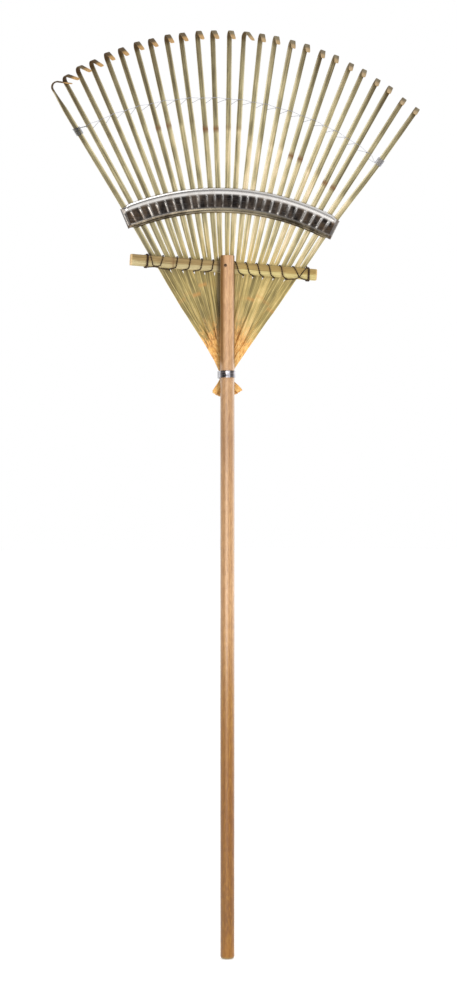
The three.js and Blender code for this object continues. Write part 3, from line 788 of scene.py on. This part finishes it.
def half_section(slat, side, r):
    """(across from the slat's middle line, towards the front) round one half of a slat at r."""
    half_width = outline(SIDE_OUTLINES[slat, side], r)
    half_depth = outline(SLAT_THICKNESS, r) / 2
    offset = outline(TINE_OFFSET, r)
    tine_half = outline(TINE_WIDTH, r) / 2
    split = split_distance(slat)
    parted = ease(split, split + NOTCH_LENGTH, r) if r > split else 0
    own_crown = ease(split - 15, split + 25, r)
    section = []
    for i, (across, depth) in enumerate(HALF_SECTION):
        joined_u = (across + 1) / 2 * half_width
        joined_t = depth
        if i >= INNER_START:
            joined_u = 0
            joined_t = 1 if depth > 0 else -1
        u = joined_u + (offset + across * tine_half - joined_u) * parted
        t = (joined_t + (depth - joined_t) * parted) * half_depth
        if t > 0:
            body_crown = BODY_CROWN * (joined_u / half_width) ** 2
            t -= body_crown + (TINE_CROWN * across * across - body_crown) * own_crown
        section.append((u, t))
    return section


def node_places(slat):
    """Distances at which this slat's bamboo has its nodes. They lie closer in on the right."""
    chance = random.Random(100 + slat)
    inner = INNER_NODE_R + INNER_NODE_STEP * (slat - MIDDLE_SLAT)
    inner += chance.uniform(-INNER_NODE_STRAY, INNER_NODE_STRAY)
    outer = OUTER_NODE_R + outline(OUTER_NODE_RISE, slat)
    outer += chance.uniform(-OUTER_NODE_STRAY, OUTER_NODE_STRAY)
    return inner, outer


def tine_stations(slat, tine):
    """A ring's (r, twist, how far the hook is bent there, length past the bend), tail to tip."""
    twist = hook_twist(tine)
    bend_r = tine_reach(slat) - TINE_THICKNESS / 2 - HOOK_BEND_RADIUS
    twist_start = spacer_distance(slat) + TWIST_CLEAR
    split = split_distance(slat)
    notch_end = split + NOTCH_LENGTH
    straight_rings = round((bend_r - split) / TINE_STEP)
    body = spread(TAIL_R, split, BODY_RINGS + 1)
    notch = spread(split, notch_end, NOTCH_RINGS + 1)[1:]
    for r in body + notch + spread(notch_end, bend_r, straight_rings + 1)[1:]:
        yield r, twist * ease(twist_start, bend_r, r), 0, 0
    for i in range(1, BEND_STEPS + 1):
        yield bend_r, twist, HOOK_BEND * i / BEND_STEPS, 0
    for beyond in spread(0, HOOK_STRAIGHT, STRAIGHT_STEPS + 1)[1:]:
        yield bend_r, twist, HOOK_BEND, beyond


def tail_stray(slat, r):
    """The tails that come out on the right are spread further apart."""
    return 1.1 * max(0, MIDDLE_SLAT - slat) * (1 - ease(TAIL_R, -6, r))


def half_tone(slat, along, outer_node, pale_edge):
    """How pale the bamboo is. It changes at the outer node, at the split and towards one edge, and
    is painted paler near the apex.
    """
    split = split_distance(slat)
    high = PALENESS[slat] - 0.1
    low = PALENESS[slat] + outline(LOW_PALER, slat)
    below_split = 0.47 + (low - 0.52) * 0.6
    low += (below_split - low) * (1 - ease(split - 20, split + 20, along))
    tone = low + (high - low) * ease(outer_node - 6, outer_node + 3, along)
    # Painted light: paler towards the apex, against the shade between the stacked slats.
    tone += 0.1 * (1 - ease(90, 160, along)) + 0.04
    return tone - 0.2 * ease(0.2, 0.9, -pale_edge) * ease(split - 5, split + 30, along)


def slat_half(slat, side, nodes):
    """Rings of one half of a slat from its tail to the hook's tip, and what its material reads."""
    tine = 2 * slat + (1 if side > 0 else 0)
    split = split_distance(slat)
    up, right, front = Vector((0, 0, 1)), Vector((1, 0, 0)), Vector((0, -1, 0))
    pale_side = side if tine < PALE_RIGHT_TINES else -side
    # The left half is the right one mirrored, so its points run the other way round.
    order = 1 if side > 0 else -1
    rings = []
    values = defaultdict(list)
    for r, twist, turn, beyond in tine_stations(slat, tine):
        offset = outline(TINE_OFFSET, r) * side
        along = r + turn * HOOK_BEND_RADIUS + beyond
        node = max(bump_at(along - place, NODE_REACH) for place in nodes)
        crease = max(bump_at(along - place, CREASE_REACH) for place in nodes)

        # Where the ring's middle is, and which way its width and its front face.
        spin = Matrix.Rotation(twist, 3, up)
        across, forward = spin @ right, spin @ front
        sideways = offset + tine_sway(tine, r) + slat_stray(slat, r) + tail_stray(slat, r)
        centre = Vector((sideways, slat_depth(slat, r), r))
        centre += up * (HOOK_BEND_RADIUS * sin(turn) + beyond * cos(turn))
        centre += forward * (HOOK_BEND_RADIUS * (1 - cos(turn)) + beyond * sin(turn))
        facing = forward * cos(turn) - up * sin(turn)

        thin = beyond / HOOK_STRAIGHT
        blunt = 1 - TIP_BLUNTNESS * ease(HOOK_STRAIGHT - BLUNT_LENGTH, HOOK_STRAIGHT, beyond)
        width_share = (1 + (TIP_WIDTH / TINE_WIDTH[-1][1] - 1) * thin) * blunt
        depth_share = (1 + (TIP_THICKNESS / TINE_THICKNESS - 1) * thin) * blunt
        ragged = RAGGED * wander(tine + 50, along, RAGGED_SCALE) + node * NODE_BULGE
        ring, strip, skin, tone = [], [], [], []
        for i, (u, t) in enumerate(half_section(slat, side, r)):
            local = (side * u - offset) * width_share
            if len(FRONT) <= i < BACK_START:
                local += ragged * side
            elif i >= INNER_START and r > split + NOTCH_LENGTH:
                local -= ragged * side
            depth = t * depth_share
            if t > 0 and r > PLANE_R:
                depth += node * NODE_SWELL - crease * CREASE_DEPTH
            ring.append(centre + across * local + facing * depth)
            pale_edge = HALF_SECTION[i][0] * pale_side
            peeled = 0.85 * ease(0.3, 0.8, pale_edge) * ease(split - 5, split + 30, r)
            strip.append(Vector((side * u + slat * 40, t, along)))
            skin.append(SKIN_SHOWN[i] * (1 - peeled))
            tone.append(half_tone(slat, along, nodes[1], pale_edge))
        rings.append(ring[::order])
        for key, row in (("strip", strip), ("skin", skin), ("tone", tone)):
            values[key] += row[::order]

        # Values that are the same all round the ring.
        hook = along - (tine_reach(slat) - 10)
        bend = outline(BURNT, tine) * ease(-14, 2, hook) * (1 - 0.4 * ease(28, 40, hook))
        gold_r = r + 7 * wander(tine + 20, r, 13) + GOLD_DIP * (slat / MIDDLE_SLAT - 1) ** 2
        around = {
            "mark": (0.8 if along < split else 1) * min(1, crease + 0.35 * node),
            "scorch": max(0.42 * ease(-90, 0, hook), bend),
            "gold": 1 - ease(66, 96, gold_r),
            "freckled": 0.7 * (1 - ease(90, 118, gold_r)),
            "tip": outline(TIP_BARENESS, tine) * ease(27, 37, hook),
        }
        for key, value in around.items():
            values[key] += [value] * len(ring)
    return rings, values


def slat_piece(slat):
    nodes = node_places(slat)
    parts, values = [], defaultdict(list)
    for side in (-1, 1):
        rings, more = slat_half(slat, side, nodes)
        wall = INNER_WALL if side > 0 else len(HALF_SECTION) - 2 - INNER_WALL
        parts.append(loft(rings, skip=lambda i, j, wall=wall: j == wall and i < BODY_RINGS))
        for key, more_values in more.items():
            values[key] += more_values
    number, left_tine, right_tine = slat + 1, 2 * slat + 1, 2 * slat + 2
    piece = make_piece(
        f"bamboo_slat_{number:02d}",
        placed(merged(parts), slat_frame(slat)),
        BAMBOO,
        [f"slat_{number:02d}", f"tine_end_{left_tine:02d}", f"tine_end_{right_tine:02d}"],
        values,
        body=None,
    )
    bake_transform(piece)


for slat in range(SLAT_COUNT):
    slat_piece(slat)


# ---- handle, nail and base band


def handle_piece():
    """A dowel with a rounded butt and a softened top, not quite round along its length."""
    butt, top = BUTT_ROUNDING, HANDLE_LENGTH - TOP_ROUNDING
    profile = [(CLOSED, 0)]
    profile += [(HANDLE_RADIUS - butt + x, butt + z) for x, z in arc(butt, -90, 0, 8)]
    profile += [(HANDLE_RADIUS, z) for z in spread(butt + 8, top - 8, 90)]
    profile += [(HANDLE_RADIUS - TOP_ROUNDING + x, top + z) for x, z in arc(TOP_ROUNDING, 0, 90, 5)]
    profile.append((CLOSED, HANDLE_LENGTH))

    def wobble(a, z):
        if z < BUTT_ROUNDING + 4 or z > HANDLE_LENGTH - 6:
            return 0
        return 0.12 * noise.noise(Vector((cos(a) * 0.8, sin(a) * 0.8, z / 45)))

    shape = loft(lathe_rings(profile, 72, wobble))
    make_piece("handle_dowel", shape, HANDLE, ["handle"], sharp=50)


NAIL_HEAD_RADIUS, NAIL_HEAD_HEIGHT, NAIL_RIM = 2.7, 1.4, 0.3
SHANK_RADIUS, SHANK_END, POINT_LENGTH = 1.4, 13.7, 4


def nail_piece():
    """Driven in from the front left; the profile runs from the point out to the head."""
    low, high = box_mm("handle_nail")
    start = HANDLE_RADIUS + CLEARANCE
    profile = [
        (CLOSED, -SHANK_END - POINT_LENGTH),
        (SHANK_RADIUS, -SHANK_END),
        (SHANK_RADIUS, start),
        (NAIL_HEAD_RADIUS * 0.93, start),
        (NAIL_HEAD_RADIUS, start + NAIL_RIM),
    ]
    dome = NAIL_HEAD_HEIGHT - NAIL_RIM
    for a in spread(0, pi / 2, 6)[:-1]:
        radius = NAIL_HEAD_RADIUS * cos(a) ** 0.6
        profile.append((radius, start + NAIL_RIM + dome * sin(a)))
    profile.append((CLOSED, start + NAIL_HEAD_HEIGHT))
    turn = Matrix.Rotation(-NAIL_BEARING, 4, "Z") @ Matrix.Rotation(pi / 2, 4, "X")
    place = Matrix.Translation((0, 0, (low.z + high.z) / 2)) @ turn
    shape = placed(loft(lathe_rings(profile, 24)), place)
    make_piece("nail", shape, NAIL_STEEL, ["handle_nail"])


# The band behind the handle: its corners from the apex's x and the handle's y, right side first.
BAND_WIDE, BAND_NARROW = 12.7, 7.3
BAND_SHOULDER_Y, BAND_BACK_Y = 24, 36.4
BAND_BACK = [
    (BAND_WIDE, 12),
    (BAND_WIDE, BAND_SHOULDER_Y),
    (BAND_NARROW, BAND_BACK_Y),
    (0, BAND_BACK_Y),
    (-BAND_NARROW, BAND_BACK_Y),
    (-BAND_WIDE, BAND_SHOULDER_Y),
    (-BAND_WIDE, 18),
]
BAND_ARC = (178, 369)
# Its edge, (outwards, towards the middle): flat inside, rolled slightly outwards.
BAND_EDGE = [(0, 0), (0.9, 0), (1.25, 0.7), (1, 1.8)]


def band_piece():
    """A strip bent round the handle and the bundle's back."""
    low, high = box_mm("base_band")
    inner = HANDLE_RADIUS + CLEARANCE
    plan = [Vector((x, y, 0)) for x, y in arc(inner, *BAND_ARC, 46)]
    for (x0, y0), (x1, y1) in zip(BAND_BACK, BAND_BACK[1:]):
        for k in range(6):
            plan.append(Vector((APEX_X + x0 + (x1 - x0) * k / 6, y0 + (y1 - y0) * k / 6, 0)))
    count = len(plan)
    for _ in range(2):
        smoothed = [
            plan[i - 1] * 0.25 + plan[i] * 0.5 + plan[(i + 1) % count] * 0.25 for i in range(count)
        ]
        plan = [p if p.y < 2 else q for p, q in zip(plan, smoothed)]
    half = (high.z - low.z) / 2
    section = [(out, inwards - half) for out, inwards in BAND_EDGE] + [(1, 0)]
    section += [(out, half - inwards) for out, inwards in reversed(BAND_EDGE)] + [(0, 0)]
    rings = []
    for i, point in enumerate(plan):
        tangent = (plan[(i + 1) % count] - plan[i - 1]).normalized()
        outward = Vector((tangent.y, -tangent.x, 0))
        middle = point + Vector((0, 0, (low.z + high.z) / 2))
        rings.append([middle + outward * out + Vector((0, 0, h)) for out, h in section])
    shape = loft(rings, closed=True)
    make_piece("base_band_strip", shape, BAND_STEEL, ["base_band"], sharp=50)


handle_piece()
nail_piece()
band_piece()


# ---- brace


def brace_point(along, height, y):
    """A point of the brace: along its arc, above its middle line, and depth."""
    turn = along / BRACE_RADIUS
    r = BRACE_RADIUS + height
    centre_z = BRACE_MID_R - BRACE_RADIUS
    return HEAD_FRAME @ Vector((r * sin(turn), y, centre_z + r * cos(turn)))


def brace_gap(gap, height):
    """Where along the brace the middle of a gap between two tines passes, at some height."""
    angle = (gap - (SLAT_COUNT - 1)) * SLAT_PITCH / 2
    drop = BRACE_RADIUS - BRACE_MID_R
    r = BRACE_RADIUS + height
    reach = -drop * cos(angle) + sqrt(r * r - (drop * sin(angle)) ** 2)
    return BRACE_RADIUS * atan2(reach * sin(angle), reach * cos(angle) + drop)


# Heights of the front strap's web, and its ribs and beads.
WEB_LOW, WEB_HIGH = -12.5, 10.5
RIB_HALF_WIDTH, RIB_HEIGHT, BACK_RIB_HEIGHT = 2.6, 1.3, 0.9
TOP_BEAD = (16.2, 5.6, 3.2)
LOWER_BEAD = (-18.2, 3.8, 2.6)
WRAP_STEPS, TAB_STEPS, FRONT_STEPS = 8, 6, 419
FRONT_ROWS = 23


def rib(along, height, half_width):
    """How far the pressed ribs stand out here, 0 to 1. One runs up every gap between tines."""
    best = 0
    for gap in range(2 * SLAT_COUNT - 1):
        own = half_width * (1 + 0.5 * wander(gap + 90, 0.5, 1))
        centre = brace_gap(gap, height) + 2.4 * wander(gap + 70, 0.5, 1)
        best = max(best, bump_at(along - centre, own))
    return best


def bead(height, centre, half, proud):
    inside = 1 - ((height - centre) / half) ** 2
    return proud * sqrt(inside) if inside > 0 else 0


def brace_plan():
    """(along, y, outward normal's x and y, 1 on the front) from the left tab round to the right."""
    back_y = FACE_BACK_Y + STRAP_THICKNESS + CLEARANCE
    bend = (back_y - FACE_FRONT_Y) / 2
    plan = []
    for k in range(TAB_STEPS):
        plan.append((-BRACE_REACH + BRACE_TAB * (1 - k / TAB_STEPS), back_y, 0, 1, 0))
    for x, y in arc(1, 90, 270, WRAP_STEPS + 1):
        plan.append((-BRACE_REACH + bend * x, back_y - bend + bend * y, x, y, 0))
    right = [(-s, y, -out_x, out_y, front) for s, y, out_x, out_y, front in reversed(plan)]
    for s in spread(-BRACE_REACH, BRACE_REACH, FRONT_STEPS + 1)[1:-1]:
        plan.append((s, FACE_FRONT_Y, 0, -1, 1))
    return plan + right


def rib_highlight(along, height):
    """How much painted highlight the ribs' tops take here: more on the right and near the top bead.
    """
    right_half = ease(-10, 60, along)
    glint = 0.1 + 0.4 * ease(-0.1, 0.35, wander(4, along, 16)) * ease(20, 90, abs(along))
    glint += 0.3 * right_half * ease(-0.3, 0.2, wander(6, along, 11))
    top = 0.75 + 0.2 * right_half
    own_width = RIB_HALF_WIDTH * (1 + 0.4 * right_half)
    return rib(along, height, own_width) * (glint + (top - glint) * ease(-4, 6, height))


def brace_front_piece():
    """The strap in front of the tines, wrapped round the outermost two."""
    half_front, half_back = BRACE_HEIGHT / 2, BACK_STRAP_HEIGHT / 2
    rings = []
    values = defaultdict(list)
    for along, y, out_x, out_y, front in brace_plan():
        inwards = BRACE_REACH - abs(along)
        shown = front * ease(0, 7, inwards)
        half = half_back + (half_front - half_back) * ease(0, 14, inwards) * front
        ring = []
        for row in spread(-1, 1, FRONT_ROWS):
            height = row * half
            full = row * half_front
            out = STRAP_THICKNESS
            if shown > 0:
                out += shown * max(bead(full, *TOP_BEAD), bead(full, *LOWER_BEAD))
                web = ease(WEB_LOW, WEB_LOW + 5, height)
                web *= 1 - ease(WEB_HIGH - 4, WEB_HIGH, height)
                out += shown * web * RIB_HEIGHT * rib(along, height, RIB_HALF_WIDTH)
            ring.append(brace_point(along + out_x * out, height, y + out_y * out))
            above_lip = ease(WEB_LOW - 2, WEB_LOW + 1, height)
            below_bead = 1 - ease(WEB_HIGH - 1, WEB_HIGH + 1.5, height)
            # The web takes painted shade and dark reflection, left off where the ribs take painted
            # highlights.
            dark = above_lip * below_bead * (1 - rib_highlight(along, height))
            values["web"].append(dark if shown > 0.5 else 0.75)
            values["lip"].append(1 - above_lip)
            rust = 0.15 + 0.4 * ease(110, 180, abs(along)) + 0.1 * ease(30, 110, along)
            values["rust"].append(rust)
        ring += [brace_point(along, half, y), brace_point(along, -half, y)]
        for key in values:
            values[key] += [0.5, 0.5]
        rings.append(ring)
    shape = loft(rings)
    name = "brace_pressed_strap"
    make_piece(name, shape, BRACE_STEEL, ["brace_front"], values, sharp=50)


def brace_back_piece():
    inside = BRACE_REACH - 0.5
    rows = spread(-BACK_STRAP_HEIGHT / 2, BACK_STRAP_HEIGHT / 2, 15)
    rings = []
    values = defaultdict(list)
    for along in spread(-inside, inside, 330):
        free = ease(BRACE_TAB + 3, BRACE_TAB + 9, BRACE_REACH - abs(along))
        ring = []
        for height in rows:
            web = 1 - ease(8, 13, abs(height))
            hem = 0.5 * ease(13.5, 15, abs(height)) * free
            ribbed = rib(along, height, RIB_HALF_WIDTH)
            out = STRAP_THICKNESS + hem + free * web * BACK_RIB_HEIGHT * ribbed
            ring.append(brace_point(along, height, FACE_BACK_Y + out))
            # The back strap's web takes the same painted shade, left off the ribs.
            values["web"].append(0.6 * web * (1 - ribbed))
        ring += [brace_point(along, height, FACE_BACK_Y) for height in (rows[-1], rows[0])]
        values["web"] += [0.5, 0.5]
        values["lip"] += [0.0] * len(ring)
        values["rust"] += [0.3] * len(ring)
        rings.append(ring)
    shape = loft(rings)
    name = "brace_back_strap"
    make_piece(name, shape, BRACE_STEEL, ["brace_back"], values, sharp=50)


brace_front_piece()
brace_back_piece()


# ---- spacer wire

STRAND_RADIUS = 0.38
COIL_TURNS = 9
COIL_RISE = 1.5
ZIGZAG_DROP = 7.5
# How far the wire stays clear of a tine's sides, and of its front and back.
SIDE_CLEAR, FACE_CLEAR = 0.15, 0.2


def by_tine(tine, r, across, through):
    """A point beside a tine, out by the wire's radius.

    across and through are in half widths across it and half thicknesses behind it.
    """
    slat, side = tine // 2, 1 if tine % 2 else -1
    half_width = outline(TINE_WIDTH, r) / 2 + STRAND_RADIUS + SIDE_CLEAR
    half_depth = TINE_THICKNESS / 2 + STRAND_RADIUS + FACE_CLEAR
    sideways = side * outline(TINE_OFFSET, r) + tine_sway(tine, r) + slat_stray(slat, r)
    sideways += across * half_width
    return slat_frame(slat) @ Vector((sideways, SLAT_PLANE_Y + through * half_depth, r))


def coil(tine):
    """Wire wound close round one of the outermost tines."""
    r = spacer_distance(tine // 2)
    sides = ((-1, -1), (1, -1), (1, 1), (-1, 1))
    steps = len(sides) * COIL_TURNS
    rise = COIL_RISE / len(sides)
    return [by_tine(tine, r + (i - steps / 2) * rise, *sides[i % 4]) for i in range(steps + 1)]


def spacer_piece():
    """One strand runs straight over the fronts.

    The other zigzags down through every gap and behind the tines.
    """
    last = 2 * SLAT_COUNT - 1
    straight, zigzag = [], []
    for tine in range(1, last):
        r = spacer_distance(tine // 2)
        low = r - ZIGZAG_DROP
        over_front = ((r + 1, -1, -0.8), (r + 1.4, 0, -1), (r + 1, 1, -0.8))
        behind = ((r, -1, -0.9), (r - 1, -1, 0.9), (low + 1, 1, 0.9), (low, 1, -0.9))
        straight += [by_tine(tine, *place) for place in over_front]
        zigzag += [by_tine(tine, *place) for place in behind]
    left_coil, right_coil = coil(0), coil(last)
    paths = (left_coil + straight + right_coil, left_coil[-1:] + zigzag + right_coil[:1])
    strands = [loft(tube_rings(smooth_path(path, 4), STRAND_RADIUS, 6)) for path in paths]
    shape = merged(strands)
    make_piece("spacer_wire_run", shape, ZINC_STEEL, ["spacer_wire"], body=TINES)


spacer_piece()


# ---- crossbar and lacing

BAR_FRAME = Matrix.Translation(BAR_CENTRE) @ Matrix.Rotation(BAR_TILT, 4, "Y")
STICK_SWELL, STICK_CREASE, STICK_WANDER = 0.35, 0.3, 0.2


def stick_piece(name, node, flat_y, direction, joints, seed):
    """A split bamboo stick: flat towards the slats, rounded outside, with sawn ends."""
    half = BAR_HEIGHT / 2
    stations = spread(-BAR_LENGTH / 2, BAR_LENGTH / 2, 112)
    rings = []
    values = defaultdict(list)
    for s in stations:
        at_end = s in (stations[0], stations[-1])
        swell = max(bump_at(s - joint, 5) for joint in joints)
        crease = max(bump_at(s - joint, 1.8) for joint in joints)
        ring = []
        for a in spread(0, pi, 19):
            h = half * copysign(abs(cos(a)) ** 0.75, cos(a))
            uneven = STICK_SWELL * swell - STICK_CREASE * crease
            uneven += STICK_WANDER * wander(seed + a, s, 30)
            out = BAR_DEPTH * sin(a) ** 0.62 + uneven * sin(a)
            if at_end:
                h *= 0.975
                out *= 0.95
            ring.append(BAR_FRAME @ Vector((s, flat_y + direction * out, h)))
            values["strip"].append(Vector((s + seed * 400, out, h)))
            values["mark"].append(min(1, crease + 0.3 * swell))
            values["end"].append(1.0 if at_end else 0.0)
        rings.append(ring)
    make_piece(name, loft(rings), STICK, [node], values)


def gap_along_bar(slat, h):
    """Where the gap right of a slat crosses the crossbar, h above its middle line."""
    bearing = crossing_angle(slat + 0.5)
    apex = BAR_FRAME.inverted() @ Vector((APEX_X, 0, APEX_Z))
    stray = slat_stray(slat + 0.5, crossbar_distance(slat + 0.5, h))
    return apex.x + (h - apex.z) * tan(bearing) + stray / cos(bearing)


LACE_STRAND = 0.62
LACE_PITCH = 8
LACE_STAND, CROSSING_STAND = 1.15, 3.1
LACE_END_PITCH = 1.7
# How far a half turn has moved along the bar at each of its five corners.
LACE_LEFT_SHARES = [0, 0.04, 0.12, 0.26, 1]
LACE_RIGHT_SHARES = [0, 0.08, 0.26, 0.48, 1]
LACE_BACK_SHARES = [0, 0.15, 0.5, 0.85, 1]


def half_turn(from_s, to_s, direction, stand=LACE_STAND):
    """Corners of half a turn of lacing: down the front or up the back of the sticks."""
    half = BAR_HEIGHT / 2 + stand
    flat_y = FACE_FRONT_Y if direction < 0 else FACE_BACK_Y
    low_y = flat_y + direction * BAR_DEPTH * 0.4
    high_y = flat_y + direction * (BAR_DEPTH + stand)
    bent_y = high_y - direction * 0.5
    corners = [(half, low_y), (half * 0.72, bent_y), (0, high_y)]
    corners += [(-half * 0.72, bent_y), (-half, low_y)]
    shares = LACE_RIGHT_SHARES if to_s > 0 else LACE_LEFT_SHARES
    if direction > 0:
        corners.reverse()
        shares = LACE_BACK_SHARES
    along = [from_s + (to_s - from_s) * share for share in shares]
    return [BAR_FRAME @ Vector((s, y, h)) for s, (h, y) in zip(along, corners)]


def twisted(corners):
    """Two strands twisted together along a path through the corners."""
    path = smooth_path(corners, 7)
    guides = tube_rings(path, 1, 4)
    lengths = [0]
    for point, ahead in zip(path, path[1:]):
        lengths.append(lengths[-1] + (ahead - point).length)
    strands = []
    for start in (0, pi):
        strand = []
        for point, guide, length in zip(path, guides, lengths):
            a = start + 2 * pi * length / LACE_PITCH
            side = (guide[0] - point) * cos(a) + (guide[1] - point) * sin(a)
            strand.append(point + side * LACE_STRAND * 0.95)
        strands.append(loft(tube_rings(strand, LACE_STRAND, 7)))
    return strands


def lacing_piece(name, node, gaps, end_s):
    """Twisted wire from the handle outwards, ending in turns round the sticks' ends."""
    over = BAR_HEIGHT / 2 + 1
    outwards = copysign(LACE_END_PITCH, end_s)
    turns = [end_s - outwards, end_s, end_s + outwards]
    tops = [gap_along_bar(slat, over) for slat in gaps] + turns
    bottoms = [gap_along_bar(slat, -over) for slat in gaps] + turns
    corners = half_turn(bottoms[0], tops[0], 1)
    for top, bottom, next_top in zip(tops, bottoms[1:], tops[1:]):
        corners += half_turn(top, bottom, -1)
        corners += half_turn(bottom, next_top, 1)
    crossing = half_turn(turns[0] - outwards, bottoms[len(gaps) - 1], -1, CROSSING_STAND)
    strands = twisted(corners) + twisted(crossing)
    make_piece(name, merged(strands), LACE_STEEL, [node])


stick_piece("crossbar_stick_front", "crossbar_front", FACE_FRONT_Y, -1, (-92, 104), 1)
stick_piece("crossbar_stick_back", "crossbar_back", FACE_BACK_Y, 1, (-58, 126), 2)
lacing_piece("lacing_left", "lacing_wire_left", [4, 3, 2, 1, 0], LACE_ENDS[0])
lacing_piece("lacing_right", "lacing_wire_right", [6, 7, 8, 9, 10, 11], LACE_ENDS[1])


# ---- floor, light and camera

# From here on, lengths are metres.
CAMERA_DISTANCE = 5.0
CAMERA_YAW = radians(12)
CAMERA_HEIGHT = 0.795
CAMERA_SIDE = 0.0019
VIEW_HEIGHT = 1.734
SENSOR = 36
FLOOR_REACH, FLOOR_Z = 40, -0.0005
WHITE = (1, 1, 1, 1)
# The world's dimmer side: its direction, how near to it the dimming starts and ends, and levels.
DIM_YAW = radians(38)
DIM_START, DIM_END = 0.25, 0.8
WORLD_BRIGHT, WORLD_DIM = 1.05, 0.22


def look_from(obj, place, target):
    obj.location = place
    obj.rotation_euler = (Vector(target) - Vector(place)).to_track_quat("-Z", "Y").to_euler()


def add_light(name, place, target, size, power, colour=(1, 1, 1)):
    data = bpy.data.lights.new(name, "AREA")
    data.shape = "RECTANGLE"
    data.size, data.size_y = size
    data.energy = power
    data.color = colour
    look_from(add_object(name, data), place, target)


def floor():
    mesh = bpy.data.meshes.new("floor")
    corners = [(-1, -1), (1, -1), (1, 1), (-1, 1)]
    points = [Vector((x * FLOOR_REACH, y * FLOOR_REACH, FLOOR_Z)) for x, y in corners]
    mesh.from_pydata(points, [], [(0, 1, 2, 3)])
    f = Finish("pale_floor")
    f.set(Base_Color=(0.9, 0.9, 0.9, 1), Roughness=0.9)
    f.set(Emission_Color=WHITE, Emission_Strength=0.25)
    mesh.materials.append(f.material)
    add_object("floor", mesh)


def studio():
    """White all round, dimmer on the camera's side, so that polished faces there read dark."""
    world = bpy.data.worlds.new("studio")
    world.use_nodes = True
    bpy.context.scene.world = world
    w = Nodes(world.node_tree)
    direction = w.node("TexCoord").outputs["Generated"]
    inputs = {0: direction, 1: (-sin(DIM_YAW), -cos(DIM_YAW), 0)}
    nearness = w.node("VectorMath", inputs, operation="DOT_PRODUCT").outputs["Value"]
    level = w.span(nearness, DIM_START, DIM_END, WORLD_BRIGHT, WORLD_DIM)
    to_camera = w.node("LightPath").outputs["Is Camera Ray"]
    strength = w.node("Mix", {0: to_camera, 2: level, 3: 1}, data_type="FLOAT")
    background = w.tree.nodes["Background"]
    w.put(background.inputs["Color"], WHITE)
    w.put(background.inputs["Strength"], strength.outputs[0])


def camera():
    data = bpy.data.cameras.new("camera")
    data.sensor_width = SENSOR
    data.lens = SENSOR / 2 / (VIEW_HEIGHT / 2 / CAMERA_DISTANCE)
    towards = Vector((sin(CAMERA_YAW), cos(CAMERA_YAW), 0))
    right = Vector((cos(CAMERA_YAW), -sin(CAMERA_YAW), 0))
    target = right * CAMERA_SIDE + Vector((0, 0, CAMERA_HEIGHT))
    made = add_object("camera", data)
    look_from(made, target - towards * CAMERA_DISTANCE, target)
    bpy.context.scene.camera = made


floor()
studio()
camera()
add_light("front_left_softbox", (-1.0, -2.4, 0.62), (0, 0, 0.7), (1.9, 0.75), 30, (1, 0.97, 0.92))
add_light("right_strip_softbox", (2.3, 0.5, 0.7), (0, 0, 0.7), (0.6, 1.8), 12)
add_light("overhead_softbox", (-0.6, -1.4, 3.2), (0, 0, 1.2), (1.6, 1.6), 22)
bpy.context.scene.view_settings.view_transform = "Standard"
